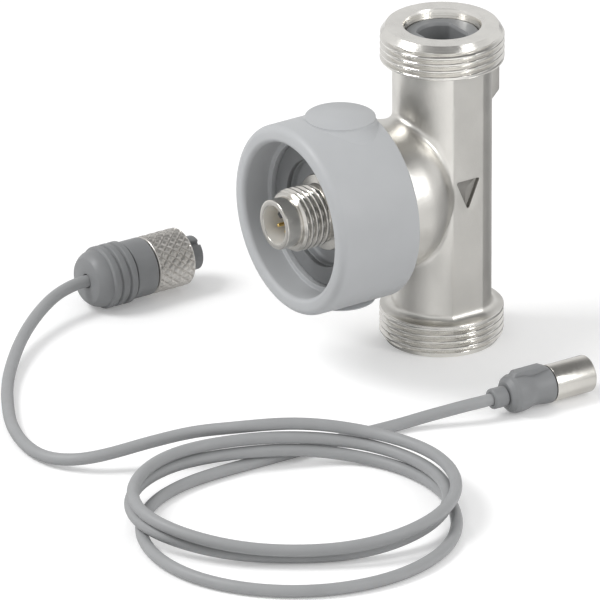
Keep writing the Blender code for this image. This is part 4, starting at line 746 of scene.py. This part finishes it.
def make_insert():
    shape = Shape()
    angles = around(128)
    outside = [(INSERT_RADIUS, INSERT_BOTTOM), (INSERT_RADIUS, INSERT_TOP, 0.35), (8.3, INSERT_TOP)]
    rows = [ring(radius, height, angles) for radius, height in rounded(outside, False, 4)]
    inside = [(7.5, INSERT_TOP), (7.0, INSERT_TOP, 0.2), (CHANNEL, 86.7, 0.5), (CHANNEL, INSERT_BOTTOM)]
    for radius, height in rounded(inside, False, 4):
        flat = CHANNEL_FLAT + radius - CHANNEL
        rows.append(ring([min(radius, flat / max(abs(math.sin(a)), 1e-6)) for a in angles], height, angles))
    shape.rows(rows, 0, FOOT, True)
    bar = FOOT @ Matrix.Translation((0, 0, BAR_HEIGHT)) @ Matrix.Rotation(math.pi / 2, 4, "X")
    prism(shape, [(-1.8, 2.0), (1.8, 2.0), (0.9, -2.0), (-0.9, -2.0)], -7.0, 7.0, bar, 0.2, 2)
    shape.finish("measuring_insert_moulding", [INSERT], ["measuring_insert"])


make_insert()


# ---- head: housing with its pads, retaining ring, carrier
HOUSING_RADIUS, HOUSING_BACK, HOUSING_FRONT = 26.0, 24.4, 49.4
CUP_RADIUS, CARRIER_RADIUS = 21.3, 19.6
PAD_RADIUS, PAD_Y = 9.4, -32.6
PAD_ROOT = [(13.6, 21.9), (12.2, 23.15), (11.1, 24.1), (10.3, 24.8), (9.8, 25.3), (9.5, 25.7)]


def add_pad(shape, place, root, top):
    """A flat round pad; what its root spreads past the housing's back is pressed flat there."""
    first = len(shape.points)
    edge = [(PAD_RADIUS, top - 0.35), (PAD_RADIUS, top - 0.1), (PAD_RADIUS - 0.13, top)]
    shape.turned([(0.0, 20.0), *root, *edge, (0.0, top)], 128, place)
    for point in shape.points[first:]:
        if math.hypot(point.x, point.y - (PIPE_Y + PAD_Y)) > PAD_RADIUS + 0.05:
            point.y = min(point.y, PIPE_Y - HOUSING_BACK - 0.1)


def make_head():
    shape = Shape()
    shape.turned(rounded([
        (6.8, HOUSING_BACK), (HOUSING_RADIUS, HOUSING_BACK, 0.7), (HOUSING_RADIUS, HOUSING_FRONT, 2.1),
        (CUP_RADIUS, HOUSING_FRONT, 1.4), (CUP_RADIUS, 41.3, 0.3), (19.9, 41.3, 0.2),
        (19.9, 35.9), (18.3, 35.9), (18.3, 26.9), (6.8, 26.9)], steps=8), 192, HEAD)
    middle = FOOT @ Matrix.Translation((0, PAD_Y, HEAD_Z))
    add_pad(shape, middle, PAD_ROOT, 26.35)
    add_pad(shape, middle @ Matrix.Rotation(math.pi, 4, "X"), [], 26.1)
    shape.finish("head_housing_moulding", [HOUSING], ["head_housing"])
    retainer = Shape()
    retainer.turned(rounded([
        (14.6, 38.9), (CARRIER_RADIUS, 38.9), (CARRIER_RADIUS, 40.1, 0.2), (14.6, 40.1, 0.3)], steps=5), 160, HEAD)
    retainer.finish("retaining_ring_moulding", [INNER], ["retaining_ring"])
    carrier = Shape()
    carrier.turned(rounded([
        (7.3, 34.45), (16.5, 34.45), (16.5, 36.2), (CARRIER_RADIUS, 36.2), (CARRIER_RADIUS, 38.6), (14.5, 38.6, 0.2),
        (14.5, 36.45, 0.9), (7.3, 36.45)], steps=6), 160, HEAD)
    carrier.finish("receptacle_carrier_moulding", [CARRIER], ["receptacle_carrier"])


make_head()


# ---- receptacle
SLEEVE, SLEEVE_BORE, TAIL_BORE = 6.8, 5.25, 5.75
SHELL_FRONT, SLEEVE_START, BORE_END = 53.8, 49.3, 45.5
RECEPTACLE_THREAD, RECEPTACLE_DEPTH, RECEPTACLE_PITCH = 8.5, 0.85, 1.65
THREAD_BACK, CREST_HEIGHT = 40.9, 41.928


def make_receptacle():
    shape = Shape()
    angles = np.array(around(128))
    tail = rounded([
        (TAIL_BORE, 32.35), (7.0, 32.35), (7.0, 37.75), (9.1, 37.75), (9.1, 36.75), (10.4, 36.75, 0.2),
        (10.4, 38.85, 0.3), (7.8, 38.85, 0.35), (7.8, 40.6)], True, 4)
    rows = [ring(r, h, angles) for r, h in tail]
    for height in spread([THREAD_BACK, SLEEVE_START], RECEPTACLE_PITCH / 14):
        near = min(height - THREAD_BACK, SLEEVE_START - height)
        envelope = RECEPTACLE_THREAD - max(0.0, RECEPTACLE_DEPTH * 0.75 - near)
        fade = smooth(near / (RECEPTACLE_PITCH * 0.5) + 0.35)
        phase = (height - CREST_HEIGHT) / RECEPTACLE_PITCH - angles / math.tau
        cut = RECEPTACLE_DEPTH * thread_cut(phase) * fade
        rows.append(ring(np.minimum(envelope, RECEPTACLE_THREAD - cut), height, angles))
    sleeve = [(7.7, SLEEVE_START), (SLEEVE, SLEEVE_START, 0.15), (SLEEVE, SHELL_FRONT, 0.35),
              (SLEEVE_BORE, SHELL_FRONT, 0.2), (SLEEVE_BORE, BORE_END), (TAIL_BORE, BORE_END - 0.3)]
    rows += [ring(r, h, angles) for r, h in rounded(sleeve, False, 4)]
    # The bore's wall takes the paler nickel: painted light
    bore_bands = 3
    shape.rows(rows, 0, HEAD, True, [0] * (len(rows) - bore_bands) + [1] * bore_bands)
    key = bmesh.new()
    size = Matrix.Translation((4.8, 0, 49.4)) @ Matrix.Diagonal((2.0, 1.6, 8.5, 1))
    bmesh.ops.create_cube(key, size=1.0, matrix=size)
    round_and_take(shape, key, 0.12, 2, HEAD @ Matrix.Rotation(KEY_ANGLE, 4, "Z"), 2)
    shape.finish("receptacle_shell_plated", [NICKEL, BORE, RUBBER_AND_SHADE], ["receptacle_shell"])
    core = Shape()
    core.turned(rounded([(0.0, 32.65), (5.45, 32.65), (5.45, 44.8, 0.2), (0.0, 44.8)], steps=3), 96, HEAD)
    for spot in pin_places(HEAD, PIN_CIRCLE):
        core.turned(rounded([(0.55, 44.7), (0.95, 44.7), (0.95, 45.05, 0.1), (0.55, 45.05, 0.1)], steps=2), 24, spot)
    core.finish("receptacle_insert_moulding", [HOUSING], ["receptacle_insert"])
    make_pins("contact_pin", HEAD, PIN_CIRCLE, 30.7, 51.3, 6)


make_receptacle()


# ---- plug
GRIP_RIDGES, RIDGE_START, RIDGE_SPACING = 3, 4.9, 2.7
CAP_RADIUS, RIDGE_RADIUS, CAP_END = 7.8, 8.5, 11.5
BARREL_RADIUS, PLUG_CORE, KEYWAY_DEPTH, KEYWAY_HALF = 7.9, 4.65, 0.9, 0.75


def make_plug():
    cap = Shape()
    profile = [(1.9, 1.6), (1.9, 0.15), (2.05, 0.0), (6.15, 0.0), (6.25, 0.06), (6.5, 0.32), (6.8, 0.66),
               (7.08, 1.04), (7.3, 1.42), (7.48, 1.82), (7.62, 2.24), (7.72, 2.7), (7.78, 3.2)]
    for index in range(GRIP_RIDGES):
        middle = RIDGE_START + RIDGE_SPACING * index
        ridge = [(CAP_RADIUS, middle - 1.3), (7.75, middle - 1.12, 0.1), (RIDGE_RADIUS, middle - 0.82, 0.32),
                 (RIDGE_RADIUS, middle + 0.82, 0.32), (7.75, middle + 1.12, 0.1), (CAP_RADIUS, middle + 1.2)]
        profile += rounded(ridge, False, 4)[1:-1]
    profile += rounded([(CAP_RADIUS, CAP_END), (5.9, CAP_END), (5.9, 5.6), (1.9, 5.6)], False)
    cap.turned(profile, 128, PLUG)
    cap.finish("plug_rear_cap_moulding", [MOULD], ["plug_rear_cap"])
    barrel = Shape()
    barrel.turned(rounded([
        (0.0, 5.9), (5.6, 5.9), (5.6, 11.8), (BARREL_RADIUS, 11.8, 0.3), (BARREL_RADIUS, 18.2, 0.3), (5.9, 18.2),
        (5.9, 21.3), (5.3, 21.3), (5.3, 22.7), (5.9, 22.7), (5.9, 28.7, 0.25), (4.95, 28.7, 0.15), (4.95, 19.7),
        (0.0, 19.7)], steps=4), 128, PLUG)
    barrel.finish("plug_barrel_moulding", [MOULD], ["plug_barrel"])
    core = Shape()
    angles = around(144)

    def keyed(radius):
        """Radii round the insert with its keyway, which faces the receptacle's key."""
        made = []
        for a in angles:
            away = abs((a + KEY_ANGLE + math.pi) % math.tau - math.pi)
            depth = KEYWAY_DEPTH * float(smooth((KEYWAY_HALF - away * radius) / 0.18))
            made.append(radius - (depth if away < 0.4 else 0.0))
        return made

    front = rounded([(PLUG_CORE, 29.0), (PLUG_CORE, 34.6, 0.3), (3.9, 34.6)], False, 4)
    rows = [ring(keyed(r), height, angles) for r, height in front]
    rows += [ring(r, height, angles) for r, height in ((0, 34.6), (0, 20.0), (PLUG_CORE, 20.0), (PLUG_CORE, 28.99))]
    core.rows(rows, 0, PLUG, True)
    core.finish("plug_insert_moulding", [INNER], ["plug_insert"])
    for index, spot in enumerate(pin_places(PLUG, PIN_CIRCLE)):
        contact = Shape()
        tube = [(0.48, 30.0), (0.78, 30.0), (0.78, 34.72, 0.1), (0.48, 34.72, 0.1)]
        contact.turned(rounded(tube, steps=3), 32, spot)
        # Painted shade: a thin black disc just inside the contact's mouth darkens its hole
        contact.turned([(0.0, 34.62), (0.48, 34.62), (0.48, 34.6), (0.0, 34.6)], 32, spot, 1)
        contact.finish(f"socket_contact_{index + 1}_turned", [GOLD, RUBBER_AND_SHADE], [f"socket_contact_{index + 1}"])


make_plug()


# ---- coupling ring
RING_START, RING_LENGTH, RING_RADIUS, RING_EDGE = 18.5, 11.6, 7.9, 0.75
KNURLS, KNURL_DEPTH, KNURL_SLANT, GROOVE_WIDTH = 20, 0.42, 1.12, 0.5


def groove(value):
    """Depth share of a V groove that repeats with each whole number."""
    return np.clip(1 - np.abs(value % 1.0 - 0.5) * 2 / GROOVE_WIDTH, 0, 1)


def make_coupling_ring():
    shape = Shape()
    angles = np.array(around(320))
    pitch = math.tau * RING_RADIUS / KNURLS * KNURL_SLANT
    inside = rounded([(7.05, 11.6), (7.0, 11.5), (7.0, 2.8), (6.2, 2.8), (6.2, 0.0, 0.2), (7.0, 0.0)], False, 3)
    rows = [ring(r, RING_START + h, angles) for r, h in inside]
    for height in spread([0.0, RING_LENGTH], 0.12):
        near = min(height, RING_LENGTH - height)
        drop = RING_EDGE - min(near, RING_EDGE)
        envelope = RING_RADIUS - RING_EDGE + math.sqrt(max(0.0, RING_EDGE ** 2 - drop ** 2))
        u, v = KNURLS * angles / math.tau, height / pitch
        cut = KNURL_DEPTH * np.maximum(groove(u + v), groove(u - v)) * smooth((near - 0.35) / 0.3)
        rows.append(ring(np.minimum(envelope, RING_RADIUS - cut), RING_START + height, angles))
    shape.rows(rows, 0, PLUG, True)
    shape.finish("coupling_ring_knurled", [KNURLED], ["coupling_ring"], body=RING, sharp=30)


make_coupling_ring()


# ---- slim connector
GRIP, GRIP_WAIST, GRIP_FRONT = (5.3, 8.6), (4.6, 12.5), (5.1, 18.0)  # (radius, height) that the grip swells through
SLIM_SLEEVE, SLIM_BORE, SLIM_START, SLIM_END = 5.05, 4.35, 18.3, 30.7


def swell(start, end, count):
    """Profile points of a soft change of radius, without its first one."""
    return [(start[0] + (end[0] - start[0]) * (1 - math.cos(math.pi * share)) / 2,
             start[1] + (end[1] - start[1]) * share) for share in np.linspace(0, 1, count)[1:]]


def make_connector():
    ferrule = Shape()
    ferrule.turned(rounded([(1.75, 1.2), (1.75, 0.0, 0.1), (2.8, 0.0, 0.5), (2.8, 4.2, 0.2), (1.75, 4.2)], steps=5),
                   64, CONNECTOR)
    ferrule.finish("connector_ferrule_moulding", [MOULD], ["connector_ferrule"])
    grip = Shape()
    profile = [(0.0, 4.5), (3.6, 4.5), (4.85, 5.6), (5.3, 6.7), GRIP]
    profile += swell(GRIP, GRIP_WAIST, 14) + swell(GRIP_WAIST, GRIP_FRONT, 16)[:-1]
    profile += rounded([(5.1, 17.6), (*GRIP_FRONT, 0.25), (0.0, 18.0)], False, 4)
    grip.turned(profile, 144, CONNECTOR)
    rib_side = CONNECTOR @ Matrix(((0, 0, 1, 0), (-1, 0, 0, 0), (0, 1, 0, 0), (0, 0, 0, 1)))
    rib = [(1.8, 5.1), (3.6, 5.1), (6.2, 7.3), (6.2, 15.5), (5.1, 17.7), (1.8, 17.7)]
    prism(grip, rib, -1.4, 1.4, rib_side, 0.18, 3)
    grip.finish("connector_grip_moulding", [MOULD], ["connector_grip"], sharp=19)
    sleeve = Shape()
    sleeve.turned(rounded([
        (SLIM_BORE, SLIM_START), (SLIM_SLEEVE, SLIM_START, 0.15), (SLIM_SLEEVE, SLIM_END, 0.4),
        (SLIM_BORE, SLIM_END, 0.15)], steps=6), 128, CONNECTOR)
    sleeve.finish("connector_sleeve_plated", [NICKEL], ["connector_sleeve"])
    core = Shape()
    core.turned(rounded([(0.0, SLIM_START), (4.05, SLIM_START), (4.05, 24.0, 0.2), (0.0, 24.0)], steps=3),
                64, CONNECTOR)
    core.finish("connector_insert_moulding", [INNER], ["connector_insert"])
    make_pins("connector_pin", CONNECTOR, SLIM_PIN_CIRCLE, 19.0, 27.5, 5)


make_connector()


# ---- carried-over CAD nodes get the finish of their slot
for item in frame["record"]["subparts"]:
    data = frame["nodes"][item["node"]].data
    data.materials.clear()
    data.materials.append(SLOT_MATERIALS[item["material_slot"]])


# ---- floor, world and lamps; lengths in metres
# Painted reflection: brightness in which metal and gloss see the floor, by direction from the foot of the pipe in
# degrees
REFLECTED = [(-180, 0.8), (-150, 0.95), (-125, 0.5), (-100, 0.3), (-72, 0.55), (-48, 1.0), (-8, 1.0), (12, 0.8),
             (34, 0.55), (62, 0.4), (92, 0.25), (120, 0.55), (146, 1.0), (180, 0.8)]
FLOOR_HALF, FLOOR_DROP = 3.0, 0.00005
FLOOR_GLOW = 0.2  # only camera and glossy rays see it
WORLD_LIGHT = 0.62
LOW_REFLECTION, HIGH_REFLECTION = 0.86, 0.22  # strength in which gloss sees the world near the floor and overhead
LAMP_AIM = Vector((0.02, -0.03, 0.03))
LAMPS = {  # place, size, power
    "key": ((-0.35, -0.75, 0.95), (0.5, 0.5), 8.0),
    "rim": ((0.9, 0.35, 0.55), (0.35, 0.6), 3.0),
}


def maths(tree, operation, one, two):
    made = tree.nodes.new("ShaderNodeMath")
    made.operation = operation
    feed(tree, made.inputs[0], one)
    feed(tree, made.inputs[1], two)
    return made.outputs[0]


def make_paper():
    paper = bpy.data.materials.new("floor_paper")
    paper.use_nodes = True
    tree = paper.node_tree
    shader = tree.nodes["Principled BSDF"].inputs
    shader["Roughness"].default_value = 0.9
    shader["Specular IOR Level"].default_value = 0.1
    shader["Emission Color"].default_value = (1, 1, 1, 1)
    place = node(tree, "ShaderNodeTexCoord").outputs["Object"]
    colour = mixed(tree, noise(tree, place, 3.0, 2.0), (0.86, 0.86, 0.86), (0.88, 0.88, 0.88))
    # Painted reflection: a ramp round the pipe darkens the floor for glossy rays only, which streaks the metal
    turn = node(tree, "ShaderNodeTexGradient", Vector=from_pipe(tree, place))
    turn.gradient_type = "RADIAL"
    painted_reflection = node(tree, "ShaderNodeValToRGB", Fac=turn.outputs["Fac"])
    ramp = painted_reflection.color_ramp
    ramp.interpolation = "EASE"
    while len(ramp.elements) < len(REFLECTED):
        ramp.elements.new(0.5)
    for stop, (azimuth, level) in zip(ramp.elements, REFLECTED):
        stop.position = (azimuth + 180) / 360
        stop.color = (level, level, level, 1)
    rays = node(tree, "ShaderNodeLightPath").outputs
    tone = node(tree, "ShaderNodeMix", Factor=rays["Is Glossy Ray"], A=1.0, B=painted_reflection.outputs["Color"])
    toned = tree.nodes.new("ShaderNodeVectorMath")
    toned.operation = "SCALE"
    feed(tree, toned.inputs[0], colour)
    feed(tree, toned.inputs["Scale"], tone.outputs["Result"])
    feed(tree, shader["Base Color"], toned.outputs["Vector"])
    # The glow that gloss sees carries the same painted reflection
    seen = maths(tree, "MAXIMUM", rays["Is Camera Ray"], rays["Is Glossy Ray"])
    glow = maths(tree, "MULTIPLY", maths(tree, "MULTIPLY", seen, FLOOR_GLOW), tone.outputs["Result"])
    feed(tree, shader["Emission Strength"], glow)
    return paper


def make_floor():
    maker = bmesh.new()
    bmesh.ops.create_grid(maker, x_segments=8, y_segments=8, size=FLOOR_HALF)
    mesh = bpy.data.meshes.new("floor")
    maker.to_mesh(mesh)
    maker.free()
    mesh.materials.append(make_paper())
    ground = bpy.data.objects.new("floor", mesh)
    ground.location = (0, 0, -FLOOR_DROP)
    bpy.context.scene.collection.objects.link(ground)


def make_world():
    """White to the camera, dimmer as a light, and darker overhead to gloss."""
    world = bpy.data.worlds.new("studio")
    bpy.context.scene.world = world
    world.use_nodes = True
    tree = world.node_tree
    tree.nodes.clear()
    rays = node(tree, "ShaderNodeLightPath").outputs
    along = node(tree, "ShaderNodeSeparateXYZ", Vector=node(tree, "ShaderNodeTexCoord").outputs["Generated"])
    walls = node(tree, "ShaderNodeMapRange", Value=along.outputs["Z"], From_Min=0.35, From_Max=0.85,
                 To_Min=LOW_REFLECTION, To_Max=HIGH_REFLECTION)
    walls.interpolation_type = "SMOOTHSTEP"
    strength = node(tree, "ShaderNodeMix", Factor=rays["Is Glossy Ray"], A=WORLD_LIGHT, B=walls.outputs["Result"])
    light = node(tree, "ShaderNodeBackground", Color=(1, 1, 1, 1), Strength=strength.outputs["Result"])
    white = node(tree, "ShaderNodeBackground", Color=(1, 1, 1, 1), Strength=1.0)
    mix = node(tree, "ShaderNodeMixShader", Fac=rays["Is Camera Ray"])
    feed(tree, mix.inputs[1], light.outputs[0])
    feed(tree, mix.inputs[2], white.outputs[0])
    node(tree, "ShaderNodeOutputWorld", Surface=mix.outputs[0])


def make_lamps():
    for name, (place, size, power) in LAMPS.items():
        data = bpy.data.lights.new(name, "AREA")
        data.shape = "RECTANGLE"
        data.size, data.size_y = size
        data.energy = power
        lamp = bpy.data.objects.new(name, data)
        lamp.location = place
        lamp.rotation_mode = "QUATERNION"
        lamp.rotation_quaternion = (LAMP_AIM - Vector(place)).to_track_quat("-Z", "Y")
        bpy.context.scene.collection.objects.link(lamp)


make_floor()
make_world()
make_lamps()
bpy.context.scene.view_settings.view_transform = "Standard"
